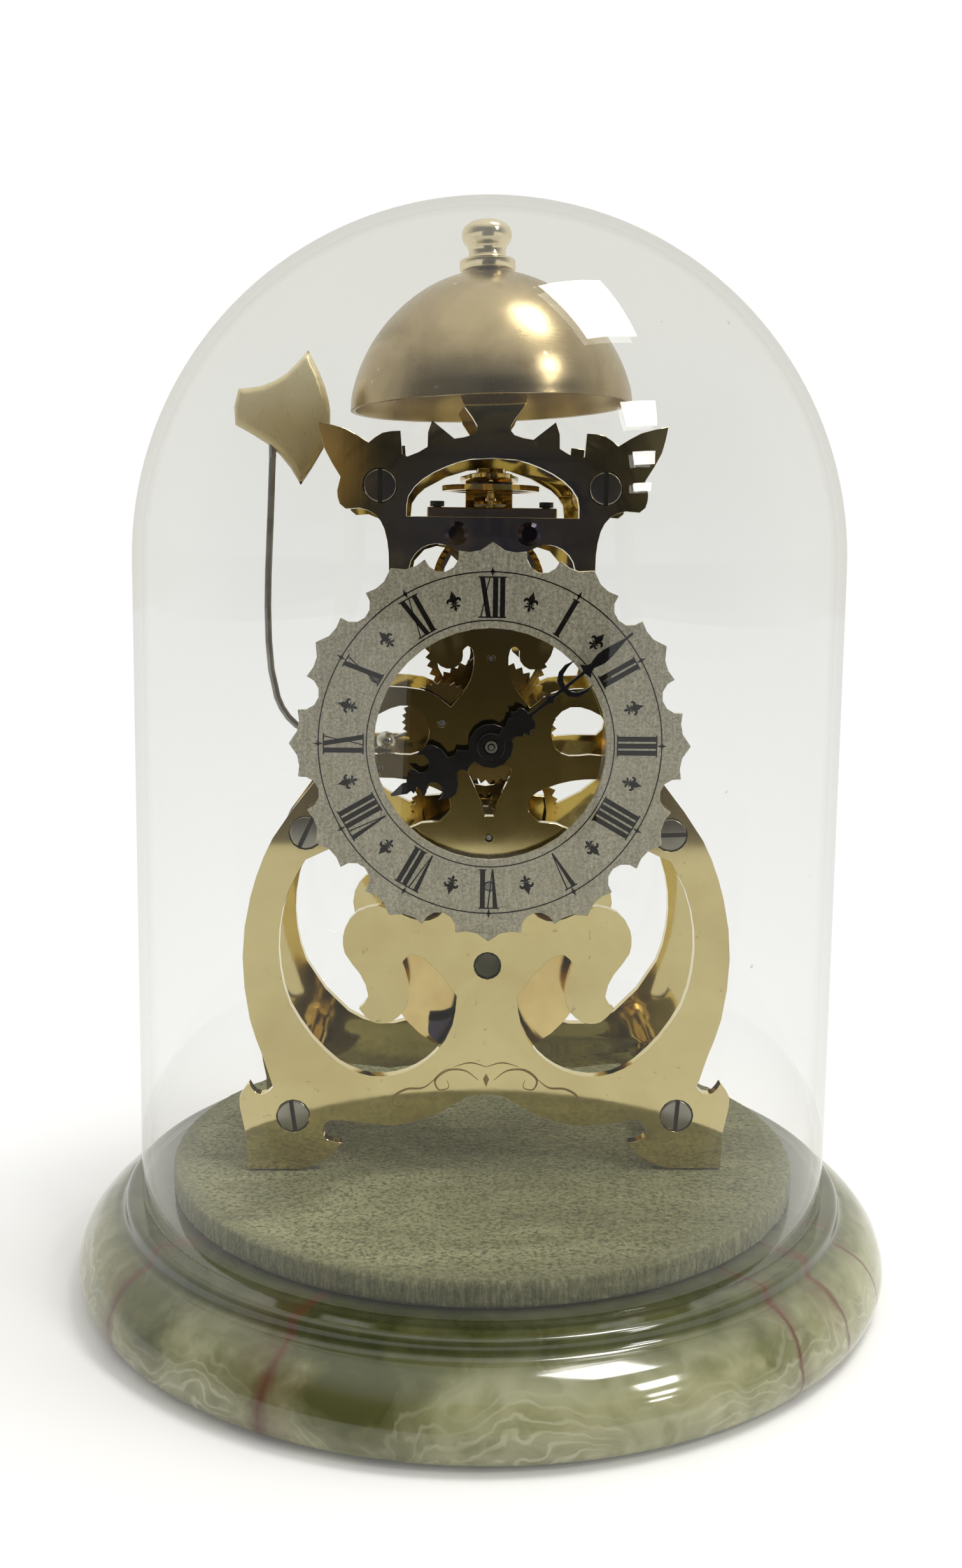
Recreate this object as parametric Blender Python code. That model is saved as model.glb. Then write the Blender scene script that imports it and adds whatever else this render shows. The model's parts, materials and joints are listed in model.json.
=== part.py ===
"""Skeleton clock with passing strike, under a glass dome on an onyx base.

Lengths below are millimetres; MM turns them into metres. x runs to the clock's right as seen from the
front, y to its back and z up. The underside of the base is z = 0 and the dome's axis is x = y = 0.
"""

import math

import bmesh
import bpy
from mathutils import Matrix, Vector
from mathutils.geometry import tessellate_polygon

for old in list(bpy.data.objects):
    bpy.data.objects.remove(old, do_unlink=True)

MM = 0.001
GAP = 0.3  # between pieces that touch

# Base and dome
BASE_RADIUS = 119.4
BASE_TOP = 26.6
PAD_RADIUS = 92.5
PAD_TOP = 34.7
DOME_RADIUS = 101.3
DOME_WALL = 2.6
DOME_TOP = 310.0

# Frame: two plates in x and z, joined by six pillars along y
FRONT_FACE = -22.8
PLATE = 3.5
FRONT_BACK = FRONT_FACE + PLATE
BACK_FACE = 28.2
BACK_END = BACK_FACE + PLATE
FOOT_Z = 35.0
PILLARS = {"top": (31.0, 230.1), "mid": (51.5, 133.6), "foot": (55.4, 50.9)}
HEAD_RADIUS = 4.6
BOLT_X = 55.4
MID_Y = 0.5 * (FRONT_BACK + BACK_FACE)

# Arbors, all on x = 0 except where a pair is given
BARREL_Z = 95.4
SECOND_Z = 132.4
CENTRE_Z = 159.4
THIRD_Z = 183.0
CONTRATE_Z = 203.6
MINUTE_STUD = (-13.5, 164.95)
HAMMER_AXIS = (-31.2, 152.2)
CLICK_AXIS = (-9.0, 70.4)

# Tooth counts
GREAT_TEETH, SECOND_LEAVES = 70, 10
SECOND_TEETH, CENTRE_LEAVES = 50, 10
CENTRE_TEETH, THIRD_LEAVES = 48, 6
THIRD_TEETH, CONTRATE_LEAVES = 45, 6
CONTRATE_TEETH, ESCAPE_LEAVES = 48, 6
ESCAPE_TEETH = 15
CANNON_TEETH, MINUTE_TEETH = 12, 36
MINUTE_LEAVES, HOUR_TEETH = 8, 32

# Dial and hands
DIAL_FRONT = -27.1
DIAL_THICK = 1.2
DIAL_INNER = 32.3
MINUTE_ANGLE = 50.5
HOUR_ANGLE = 243.0
HOUR_HAND_Y = -29.9
MINUTE_HAND_Y = -32.2
HAND_THICK = 0.8

# Escapement platform, its arbors along z
PLATFORM_Z = 221.9
PLATFORM_THICK = 2.9
ESCAPE_Y = 9.6
PALLET_Y = 4.3
BALANCE_Y = -1.0
BALANCE_RADIUS = 14.0

# Bell, in the frame of its post
BELL_Y = 2.5
BELL_FOOT_Z = 254.7
BELL_LEAN = math.radians(-2.3)
BELL_RADIUS = 40.6

COLOURS = {
    "onyx": ((0.30, 0.34, 0.20), 0.0, 0.12),
    "velvet": ((0.22, 0.25, 0.15), 0.0, 0.95),
    "glass": ((0.95, 0.97, 0.96), 0.0, 0.02),
    "brass": ((0.80, 0.66, 0.36), 1.0, 0.12),
    "bronze": ((0.60, 0.45, 0.24), 1.0, 0.30),
    "steel": ((0.45, 0.45, 0.44), 1.0, 0.30),
    "blued": ((0.05, 0.06, 0.09), 1.0, 0.30),
    "silvered": ((0.55, 0.53, 0.48), 0.6, 0.45),
    "black": ((0.01, 0.01, 0.012), 0.0, 0.35),
}


def finish_for(name, kind):
    """The piece's own Principled material."""
    colour, metal, rough = COLOURS[kind]
    material = bpy.data.materials.new(name)
    material.use_nodes = True
    shader = material.node_tree.nodes["Principled BSDF"]
    shader.inputs["Base Color"].default_value = (*colour, 1.0)
    shader.inputs["Metallic"].default_value = metal
    shader.inputs["Roughness"].default_value = rough
    if kind == "glass":
        shader.inputs["Transmission Weight"].default_value = 1.0
    return material


def made(name, kind, points, faces, origin):
    """An object from points in mm, its origin at a place in mm, its faces turned outwards."""
    shift = Vector(origin)
    mesh = bpy.data.meshes.new(name)
    mesh.from_pydata([(Vector(p) - shift) * MM for p in points], [], faces)
    work = bmesh.new()
    work.from_mesh(mesh)
    bmesh.ops.recalc_face_normals(work, faces=work.faces)
    work.to_mesh(mesh)
    work.free()
    mesh.shade_smooth()
    mesh.set_sharp_from_angle(angle=math.radians(32.0))
    item = bpy.data.objects.new(name, mesh)
    item.location = shift * MM
    bpy.context.collection.objects.link(item)
    if kind:
        mesh.materials.append(finish_for(name, kind))
    else:
        item.hide_render = True
        item.display_type = "WIRE"
    return item


def polar(radius, angle, centre=(0.0, 0.0)):
    return (centre[0] + radius * math.cos(angle), centre[1] + radius * math.sin(angle))


def circle(radius, count=20, centre=(0.0, 0.0), turn=0.0):
    return [polar(radius, turn + math.tau * i / count, centre) for i in range(count)]


def box(u0, v0, u1, v1):
    return [(u0, v0), (u1, v0), (u1, v1), (u0, v1)]


def bend(points, off):
    """A smooth curve through the points, in chords that stray from it by about `off` at most."""
    if len(points) < 3:
        return [Vector(p) for p in points]
    p = [Vector(q) for q in points]
    p = [2 * p[0] - p[1]] + p + [2 * p[-1] - p[-2]]
    line = [p[1]]
    for a, b, c, d in zip(p, p[1:], p[2:], p[3:]):
        start, end = c - a, d - b
        size = (c - b).length
        pieces = max(1, math.ceil(math.sqrt(size * start.angle(end) / (8 * off))))
        start = start.normalized() * size
        end = end.normalized() * size
        for i in range(1, pieces + 1):
            t = i / pieces
            line.append(
                b * (2 * t**3 - 3 * t**2 + 1)
                + start * (t**3 - 2 * t**2 + t)
                + c * (3 * t**2 - 2 * t**3)
                + end * (t**3 - t**2)
            )
    return line


def outline(strokes, off=0.15):
    """Joins smooth strokes end to end, with a corner where two of them meet."""
    points = []
    for stroke in strokes:
        for p in bend(stroke, off):
            if not points or (Vector(points[-1]) - p).length > 0.02:
                points.append(tuple(p))
    if (Vector(points[0]) - Vector(points[-1])).length < 0.02:
        points.pop()
    return points


def both_sides(half):
    """Closes a half outline, given from one point on u = 0 to another, with its mirror image."""
    back = [(-u, v) for u, v in reversed(half) if abs(u) > 0.01]
    return half + back


def flipped(points):
    return [(-u, v) for u, v in reversed(points)]


def turned(points, clockwise, centre=(0.0, 0.0)):
    a = math.radians(clockwise)
    c, s = math.cos(a), math.sin(a)
    return [(centre[0] + u * c + v * s, centre[1] - u * s + v * c) for u, v in points]


def moved(points, centre):
    return [(u + centre[0], v + centre[1]) for u, v in points]


def area(loop):
    ends = loop[1:] + loop[:1]
    return 0.5 * abs(sum(a[0] * b[1] - b[0] * a[1] for a, b in zip(loop, ends)))


def inside(point, loop):
    """Whether the point lies inside the loop, by the crossings of a ray along u."""
    hit = False
    for a, b in zip(loop, loop[1:] + loop[:1]):
        if (a[1] > point[1]) != (b[1] > point[1]):
            if point[0] < a[0] + (point[1] - a[1]) * (b[0] - a[0]) / (b[1] - a[1]):
                hit = not hit
    return hit


def layered(name, kind, heights, layers, axis="Y", origin=None):
    """A solid of flat layers. Layer i fills heights[i] to heights[i + 1] with the area inside its first
    loop and outside its others. A hole that a layer lacks is None, and the first loops nest."""
    points = []
    faces = []
    rings = {}

    def ring(loop, level):
        key = (tuple(loop), level)
        if key not in rings:
            rings[key] = range(len(points), len(points) + len(loop))
            for u, v in loop:
                h = heights[level]
                points.append((u, h, v) if axis == "Y" else (u, v, h))
        return rings[key]

    def cap(loops, level):
        index = [i for loop in loops for i in ring(loop, level)]
        flat = [[Vector((u, v, 0.0)) for u, v in loop] for loop in loops]
        faces.extend(tuple(index[i] for i in tri) for tri in tessellate_polygon(flat))

    for feature in zip(*layers):
        starts = [i for i, loop in enumerate(feature) if loop and (i == 0 or feature[i - 1] != loop)]
        for start in starts:
            loop = feature[start]
            end = start + 1
            while end < len(feature) and feature[end] == loop:
                end += 1
            low, high = ring(loop, start), ring(loop, end)
            for j in range(len(loop)):
                k = (j + 1) % len(loop)
                faces.append((low[j], low[k], high[k], high[j]))
    cap(list(filter(None, layers[0])), 0)
    cap(list(filter(None, layers[-1])), len(layers))
    for level in range(1, len(layers)):
        below, above = layers[level - 1], layers[level]
        step = []
        if below[0] != above[0]:
            wide, slim = sorted((below, above), key=lambda side: -area(side[0]))
            step = [wide[0], slim[0]]
        for one, other in zip(below[1:], above[1:]):
            if one == other:
                continue
            if one and other:
                cap(sorted((one, other), key=lambda loop: -area(loop)), level)
                continue
            hole = one or other
            if step and hole in wide and not inside(hole[0], slim[0]):
                step.append(hole)
            else:
                cap([hole], level)
        if step:
            cap(step, level)
    return made(name, kind, points, faces, origin or (0, 0, 0))


def plate_piece(name, kind, loops, low, high, axis="Y", origin=None):
    return layered(name, kind, [low, high], [loops], axis, origin)


def lathe(name, kind, profile, axis="Z", centre=(0.0, 0.0), sides=24, origin=None):
    """Turns a closed profile of (radius, height) about a line along the axis."""
    points = []
    rings = []
    for radius, h in profile:
        count = sides if radius > 1e-6 else 1
        rings.append(range(len(points), len(points) + count))
        for u, v in circle(radius, count, centre) if count > 1 else [centre]:
            points.append((u, h, v) if axis == "Y" else (u, v, h))
    faces = []
    for a, b in zip(rings, rings[1:] + rings[:1]):
        if len(a) == len(b) == 1:
            continue
        for j in range(sides):
            k = (j + 1) % sides
            corner = [a[j % len(a)], a[k % len(a)], b[k % len(b)], b[j % len(b)]]
            faces.append(tuple(dict.fromkeys(corner)))
    return made(name, kind, points, faces, origin or (0, 0, 0))


def sweep(name, kind, path, section, up, origin=None):
    """Carries a section of (sideways, up) points along a path."""
    path = [Vector(p) for p in path]
    up = Vector(up)
    points = []
    for i, p in enumerate(path):
        ahead = path[min(i + 1, len(path) - 1)] - path[max(i - 1, 0)]
        side = ahead.cross(up).normalized()
        points += [p + side * s + up * h for s, h in section]
    n = len(section)
    faces = [tuple(range(n)), tuple(range(len(points) - n, len(points)))]
    for i in range(len(path) - 1):
        for j in range(n):
            k = (j + 1) % n
            faces.append((i * n + j, i * n + k, i * n + n + k, i * n + n + j))
    return made(name, kind, points, faces, origin or (0, 0, 0))


def combine(target, other, operation):
    step = target.modifiers.new(operation.lower(), "BOOLEAN")
    step.operation = operation
    step.solver = "EXACT"
    step.object = other


def toothed(count, root, tip, at_root, at_tip, turn=0.0):
    """A wheel's edge. at_root and at_tip are a tooth's widths there as shares of the pitch."""
    step = math.tau / count
    points = []
    for i in range(count):
        mid = turn + i * step
        for radius, share in ((root, -at_root), (tip, -at_tip), (tip, at_tip), (root, at_root)):
            points.append(polar(radius, mid + 0.5 * share * step))
    return points


def wheel_edge(count, module, turn):
    """A train wheel's edge, its small teeth drawn as plain points."""
    pitch = 0.5 * count * module
    points = []
    for i in range(count):
        lean = turn + math.tau * i / count
        points += [polar(pitch + 0.75 * module, lean), polar(pitch - 0.95 * module, lean + math.pi / count)]
    return points


def pinion_edge(count, module, turn):
    pitch = 0.5 * count * module
    return toothed(count, pitch - 1.05 * module, pitch + 0.55 * module, 0.34, 0.22, turn)


def crossing(inner, outer, first, last):
    """One opening between two spokes of a wheel, its angles in degrees."""
    a, b = math.radians(first), math.radians(last)
    steps = 4
    far = [polar(outer, a + (b - a) * i / steps) for i in range(steps + 1)]
    trim = 0.5 * (outer - inner) / outer * (b - a) * 0.55
    near = [polar(inner, b - trim), polar(inner, a + trim)]
    return far + near


def crossings(inner, outer, spokes, spoke_angle, turn=0.0):
    part = 360.0 / spokes
    return [
        crossing(inner, outer, turn + i * part + spoke_angle, turn + (i + 1) * part - spoke_angle)
        for i in range(spokes)
    ]


def train_wheel(name, z, low, high, edge, bore, hub, rim):
    """A brass wheel crossed out to four spokes, with its hub standing out behind."""
    centre = (0.0, z)
    opened = [moved(hole, centre) for hole in crossings(hub + 1.0, rim, 4, 7.0, 45.0)]
    hole = circle(bore, 8, centre)
    layers = [
        [moved(edge, centre), hole] + opened,
        [circle(hub, 10, centre), hole] + [None] * len(opened),
    ]
    return layered(name, "brass", [low, high, high + 1.0], layers, "Y", (0.0, 0.5 * (low + high), z))


def arbor(name, kind, z, stations, x=0.0):
    """A steel arbor along y. Each station is (y, loop or radius): the section from that y to the next."""
    heights = [y for y, _ in stations]
    layers = []
    for _, shape in stations[:-1]:
        loop = circle(shape, 8) if isinstance(shape, float) else shape
        layers.append([moved(loop, (x, z))])
    return layered(name, kind, heights, layers, "Y", (x, 0.5 * (heights[0] + heights[-1]), z))


# ---------------------------------------------------------------- base, pad and dome
base_profile = [
    (0.0, 0.0),
    (114.4, 0.0),
    (117.9, 2.6),
    (BASE_RADIUS, 7.2),
    (118.6, 11.6),
    (116.7, 15.4),
    (113.4, 19.0),
    (109.6, 21.3),
    (107.6, 21.9),
    (106.5, 23.2),
    (105.2, BASE_TOP),
    (0.0, BASE_TOP),
]
onyx_base = lathe("onyx_base", "onyx", base_profile, sides=36)
pad_profile = [
    (0.0, BASE_TOP + GAP),
    (91.8, BASE_TOP + GAP),
    (PAD_RADIUS, PAD_TOP - 1.6),
    (91.7, PAD_TOP - 0.4),
    (90.4, PAD_TOP),
    (0.0, PAD_TOP),
]
velvet_pad = lathe("velvet_pad", "velvet", pad_profile, sides=36)
for side, sign in (("left", -1), ("right", 1)):
    at = (sign * BOLT_X, MID_Y)
    well = [(0.0, -1.0), (7.0, -1.0), (7.0, 5.4), (3.0, 5.4), (3.0, 40.0), (0.0, 40.0)]
    cutter = lathe("cut_bolt_" + side, None, well, centre=at, sides=12)
    combine(onyx_base, cutter, "DIFFERENCE")
    combine(velvet_pad, cutter, "DIFFERENCE")
    top = PILLARS["foot"][1] - 4.4 - GAP
    bolt = [(0.0, 0.9), (6.0, 0.9), (6.0, 5.0), (2.6, 5.0), (2.6, top), (0.0, top)]
    lathe("base_bolt_" + side, "steel", bolt, centre=at, sides=10)

spring_line = DOME_TOP - DOME_RADIUS
rim_z = BASE_TOP + GAP


def dome_skin(radius, steps):
    turn = [0.5 * math.pi * i / steps for i in range(steps)]
    return [(radius * math.cos(a), spring_line + radius * math.sin(a)) for a in turn]


outer_skin = [(DOME_RADIUS, rim_z + 0.8)] + dome_skin(DOME_RADIUS, 7) + [(0.0, DOME_TOP)]
clear = DOME_RADIUS - DOME_WALL
inner_skin = [(0.0, spring_line + clear)] + dome_skin(clear, 5)[::-1] + [(clear, rim_z + 0.8)]
foot = [(clear + 0.7, rim_z), (DOME_RADIUS - 0.7, rim_z)]
lathe("glass_dome", "glass", outer_skin + inner_skin + foot, sides=36)

# ---------------------------------------------------------------- the two plates
plate_half = [
    [(0.0, 257.0), (7.4, 257.0)],
    [(7.4, 257.0), (9.2, 254.6), (7.9, 251.4), (4.6, 246.6), (5.6, 244.2), (10.8, 243.0)],
    [(10.8, 243.0), (16.9, 247.8)],
    [(16.9, 247.8), (18.0, 244.6), (18.1, 240.7)],
    [(18.1, 240.7), (20.6, 239.2), (23.6, 238.0), (25.0, 238.6)],
    [(25.0, 238.6), (25.5, 244.9)],
    [(25.5, 244.9), (30.4, 244.3), (34.2, 241.6)],
    [(34.2, 241.6), (40.4, 245.2), (47.8, 247.0)],
    [(47.8, 247.0), (46.2, 239.9), (41.8, 232.3)],
    [(41.8, 232.3), (42.7, 228.6), (42.0, 225.0), (40.4, 223.7)],
    [(40.4, 223.7), (36.6, 224.0), (32.4, 222.3), (29.8, 218.4), (28.6, 211.8), (28.4, 204.0)],
    [(28.4, 204.0), (33.6, 191.0), (38.6, 176.0), (42.6, 160.0), (49.2, 148.0)],
    [(49.2, 148.0), (60.8, 132.0), (67.2, 115.0), (69.5, 97.7), (67.6, 79.6), (63.9, 68.4), (61.1, 59.5)],
    [(61.1, 59.5), (62.9, 57.6), (65.9, 57.8), (68.0, 60.7)],
    [(68.0, 60.7), (70.7, 56.5), (70.0, 50.4), (68.9, 45.0), (68.7, FOOT_Z)],
    [(68.7, FOOT_Z), (53.0, FOOT_Z)],
    [(53.0, FOOT_Z), (45.6, 38.2), (41.5, 42.8)],
    [(41.5, 42.8), (45.6, 43.8), (47.0, 46.6), (44.6, 49.6), (38.0, 49.0)],
    [(38.0, 49.0), (29.5, 48.0), (21.0, 49.0), (12.4, 52.4), (5.6, 56.6), (0.0, 57.5)],
]
arch_half = [
    [(0.0, 238.0), (6.4, 237.6), (13.0, 235.5), (19.4, 232.0), (23.3, 227.4), (23.8, 221.9)],
    [(23.8, 221.9), (0.0, 221.9)],
]
upper_hook = [
    [(8.9, 212.2), (12.4, 214.0), (15.6, 214.6), (19.4, 213.4), (22.4, 210.0), (23.4, 205.0)],
    [(23.4, 205.0), (24.6, 195.0), (27.4, 185.0), (29.2, 178.0), (28.6, 175.0)],
    [(28.6, 175.0), (23.9, 174.8), (19.3, 174.2), (14.7, 172.3), (11.1, 169.4)],
    [(11.1, 169.4), (8.0, 173.2), (5.6, 177.4), (4.8, 181.8), (5.2, 185.4), (6.6, 186.5), (7.9, 185.2)],
    [(7.9, 185.2), (8.1, 182.4), (10.6, 180.2), (14.0, 180.8), (16.6, 184.0), (17.5, 186.8)],
    [(17.5, 186.8), (16.6, 193.0), (12.4, 201.0), (9.4, 206.6), (8.9, 212.2)],
]
middle = [
    [
        (17.0, 162.2),
        (18.2, 166.6),
        (22.4, 169.7),
        (28.0, 168.9),
        (33.6, 165.4),
        (37.4, 160.6),
        (35.0, 156.3),
        (28.0, 156.3),
        (22.2, 155.9),
        (18.4, 157.9),
        (17.0, 162.2),
    ]
]
lower = [
    [(41.0, 148.6), (30.6, 149.4), (23.1, 148.9), (16.0, 146.8), (11.4, 143.9), (11.0, 140.0)],
    [(11.0, 140.0), (14.0, 137.0)],
    [(14.0, 137.0), (19.0, 136.6), (23.4, 134.6)],
    [(23.4, 134.6), (30.4, 138.2), (37.0, 143.4), (41.0, 148.6)],
]
vee_half = [
    [(0.0, 153.1), (4.2, 153.1)],
    [(4.2, 153.1), (5.9, 152.3), (5.9, 150.5)],
    [(5.9, 150.5), (2.4, 143.0), (1.3, 138.6)],
    [(1.3, 138.6), (0.0, 138.6)],
]
comma = [
    [(51.6, 125.9), (56.3, 117.3), (59.0, 106.0), (58.8, 94.4), (56.0, 83.6), (50.0, 74.2)],
    [(50.0, 74.2), (42.6, 66.8), (33.0, 62.8), (23.0, 64.1), (14.8, 69.6), (9.8, 78.0), (8.6, 86.4)],
    [(8.6, 86.4), (13.3, 92.9), (18.2, 97.5), (21.9, 98.6), (24.4, 96.2)],
    [(24.4, 96.2), (22.5, 89.6), (22.9, 83.6), (27.4, 78.9), (32.7, 78.8), (36.5, 82.7)],
    [(36.5, 82.7), (33.9, 86.4), (36.2, 92.8), (40.6, 99.0), (40.6, 106.0), (36.9, 111.1), (31.0, 112.8)],
    [(31.0, 112.8), (24.6, 110.4), (18.9, 108.4), (14.4, 109.6), (10.8, 113.4)],
    [(10.8, 113.4), (20.4, 117.0), (30.0, 123.2), (38.4, 130.6)],
    [(38.4, 130.6), (44.1, 129.4), (51.6, 125.9)],
]


def shaped_plate(off):
    """The outline both plates share, then its openings."""
    holes = [both_sides(outline(half, off)) for half in (arch_half, vee_half)]
    for shape in (upper_hook, middle, lower, comma):
        hole = outline(shape, off)
        holes += [hole, flipped(hole)]
    return [both_sides(outline(plate_half, off))] + holes


plate_edge, *plate_windows = shaped_plate(0.13)

pivots = [circle(1.2, 8, (0.0, z)) for z in (SECOND_Z, THIRD_Z, CONTRATE_Z)]
pivots.append(circle(1.2, 8, HAMMER_AXIS))
dial_fixings = [(-32.0, 177.7), (32.0, 177.7), (0.0, 119.4)]
cradle_x = 10.0
cradle_z = 217.4
feet_holes = [circle(1.5, 8, at) for at in dial_fixings]
feet_holes += [circle(1.9, 8, (sign * cradle_x, cradle_z)) for sign in (-1, 1)]
hour_hole = circle(3.3, 16, (0.0, CENTRE_Z))
barrel_hole = circle(4.0, 16, (0.0, BARREL_Z))
minute_hole = circle(1.3, 8, MINUTE_STUD)
seats = [(sign * x, z) for x, z in PILLARS.values() for sign in (-1, 1)]
heads = [circle(HEAD_RADIUS + GAP, 16, at) for at in seats]
shanks = [circle(1.9, 8, at) for at in seats]
plain = plate_windows + pivots + feet_holes + [hour_hole, barrel_hole, minute_hole]
no_holes = [None] * (len(plain) + len(heads))
click_stud = [[circle(radius, 10, CLICK_AXIS)] + no_holes for radius in (2.4, 1.0, 2.2)]
layered(
    "front_plate",
    "brass",
    [FRONT_FACE, FRONT_FACE + 2.0, FRONT_BACK, -16.9, -14.3, -13.4],
    [[plate_edge] + plain + heads, [plate_edge] + plain + shanks] + click_stud,
)
rivets = [circle(2.8, 8, at) for at in seats]
centre_hole = circle(1.6, 12, (0.0, CENTRE_Z))
back_loops = shaped_plate(0.35) + pivots + [centre_hole, circle(3.9, 16, (0.0, BARREL_Z))]
plate_piece("back_plate", "brass", back_loops + rivets, BACK_FACE, BACK_END)

slot_turns = {"top": (0.0, 0.0), "mid": (25.0, 88.0), "foot": (-8.0, 4.0)}
for level, (x, z) in PILLARS.items():
    for side, sign, turn in zip(("left", "right"), (-1, 1), slot_turns[level]):
        at = (sign * x, z)
        front, back = FRONT_BACK + GAP, BACK_FACE - GAP
        turning = [
            (2.0, front),
            (5.2, front),
            (5.2, front + 2.0),
            (4.0, front + 3.4),
            (4.0, back - 3.4),
            (5.2, back - 2.0),
            (5.2, back),
            (2.5, back),
            (2.5, BACK_END),
            (0.0, BACK_END),
            (0.0, front + 12.0),
            (2.0, front + 12.0),
        ]
        lathe("pillar_%s_%s" % (level, side), "brass", turning, "Y", at, sides=8)
        screw_profile = [
            (0.0, FRONT_FACE),
            (HEAD_RADIUS, FRONT_FACE),
            (HEAD_RADIUS, FRONT_FACE + 1.7),
            (1.6, FRONT_FACE + 1.7),
            (1.6, front + 9.0),
            (0.0, front + 9.0),
        ]
        screw = lathe("screw_%s_%s" % (level, side), "steel", screw_profile, "Y", at, sides=12)
        bar = turned(box(-0.6, -6.0, 0.6, 6.0), turn, at)
        low, high = FRONT_FACE - 1.0, FRONT_FACE + 0.8
        slot = plate_piece("cut_slot_%s_%s" % (level, side), None, [bar], low, high)
        combine(screw, slot, "DIFFERENCE")

# ---------------------------------------------------------------- chapter ring and its feet
SPIKE, SHOULDER, HOLLOW = 55.8, 54.1, 53.3
SCALLOP = 4.75
ring_edge = []
for hour in range(12):
    mid = math.radians(90.0 - 30.0 * hour)
    notch = mid - math.radians(15.0)
    ring_edge += [
        polar(SPIKE, mid),
        polar(53.6, mid - math.radians(3.6)),
        polar(HOLLOW, mid - math.radians(6.8)),
    ]
    ring_edge.append(polar(SHOULDER, mid - math.radians(9.9)))
    centre = polar(SHOULDER - 0.1, notch)
    for step in range(1, 6):
        around = notch + math.pi * (0.5 + step / 6.0)
        ring_edge.append(polar(SCALLOP, around, centre))
    ring_edge.append(polar(SHOULDER, mid - math.radians(20.1)))
    ring_edge += [polar(HOLLOW, mid - math.radians(23.2)), polar(53.6, mid - math.radians(26.4))]
dial_holes = [moved(circle(1.5, 8, at), (0.0, -CENTRE_Z)) for at in dial_fixings]
ring_loops = [ring_edge, circle(DIAL_INNER, 40)] + dial_holes
plate_piece(
    "chapter_ring",
    "silvered",
    [moved(loop, (0.0, CENTRE_Z)) for loop in ring_loops],
    DIAL_FRONT,
    DIAL_FRONT + DIAL_THICK,
    "Y",
    (0.0, DIAL_FRONT, CENTRE_Z),
)
spacer = (DIAL_FRONT + DIAL_THICK + GAP, FRONT_FACE - GAP)
for side, at in zip(("left", "right", "low"), dial_fixings):
    post = [
        (0.0, DIAL_FRONT),
        (1.2, DIAL_FRONT),
        (1.2, spacer[0]),
        (2.6, spacer[0]),
        (2.6, spacer[1]),
        (1.2, spacer[1]),
        (1.2, FRONT_BACK + 0.6),
        (0.0, FRONT_BACK + 0.6),
    ]
    lathe("dial_foot_" + side, "brass", post, "Y", at, sides=8)

# ---------------------------------------------------------------- hands and motion work
arbor_centre = (0.0, CENTRE_Z)
minute_shape = [
    (2.1, 5.6),
    (2.0, 7.0),
    (3.2, 8.6),
    (2.7, 9.4),
    (4.3, 10.2),
    (3.3, 11.3),
    (3.7, 12.7),
    (2.4, 13.7),
    (0.8, 13.8),
    (0.5, 15.2),
    (0.5, 19.8),
    (1.5, 20.8),
    (0.5, 21.8),
    (0.5, 24.8),
    (2.8, 25.3),
    (4.4, 27.2),
    (4.9, 29.8),
    (4.2, 32.6),
    (3.9, 30.0),
    (3.2, 27.9),
    (1.9, 26.7),
    (0.45, 26.3),
    (0.45, 32.6),
    (2.4, 33.0),
    (1.3, 34.2),
    (0.8, 35.4),
    (1.6, 38.4),
    (1.5, 40.8),
    (0.8, 44.6),
    (0.35, 46.8),
    (0.35, 49.6),
]
hour_shape = [
    (2.2, 7.4),
    (3.3, 8.9),
    (2.1, 10.2),
    (2.4, 12.0),
    (5.4, 12.6),
    (7.6, 14.4),
    (8.0, 16.2),
    (7.1, 19.6),
    (6.0, 17.6),
    (4.2, 17.2),
    (2.4, 17.8),
    (1.6, 19.4),
    (2.2, 21.0),
    (3.6, 21.6),
    (4.3, 23.4),
    (2.6, 22.9),
    (1.1, 23.4),
    (2.4, 24.9),
    (1.3, 25.3),
    (1.6, 26.6),
    (1.0, 28.4),
    (0.3, 30.8),
]


def hand(name, shape, boss, bore, y, clockwise):
    """A flat pierced hand: a round boss, and an outline given for one side of its length."""
    reach = math.atan2(shape[0][1], shape[0][0])
    low = -0.5 * math.pi
    around = [polar(boss, low + (reach - low) * i / 6) for i in range(7)]
    around[0] = (0.0, -boss)
    edge = turned(both_sides(around + shape), clockwise, arbor_centre)
    loops = [edge, circle(bore, 14, arbor_centre)]
    origin = (0.0, y + 0.5 * HAND_THICK, CENTRE_Z)
    return plate_piece(name, "black", loops, y, y + HAND_THICK, "Y", origin)


hand("minute_hand", minute_shape, 3.9, 2.0, MINUTE_HAND_Y, MINUTE_ANGLE)
hand("hour_hand", hour_shape, 6.2, 3.0, HOUR_HAND_Y, HOUR_ANGLE)

motion_gap = math.hypot(MINUTE_STUD[0], MINUTE_STUD[1] - CENTRE_Z)
motion_line = math.atan2(MINUTE_STUD[1] - CENTRE_Z, MINUTE_STUD[0])
FAST_MODULE = 2 * motion_gap / (CANNON_TEETH + MINUTE_TEETH)
SLOW_MODULE = 2 * motion_gap / (MINUTE_LEAVES + HOUR_TEETH)


def gap_towards(direction, count):
    """The turn that puts a gap between two teeth in this direction."""
    return direction + math.pi / count


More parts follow.
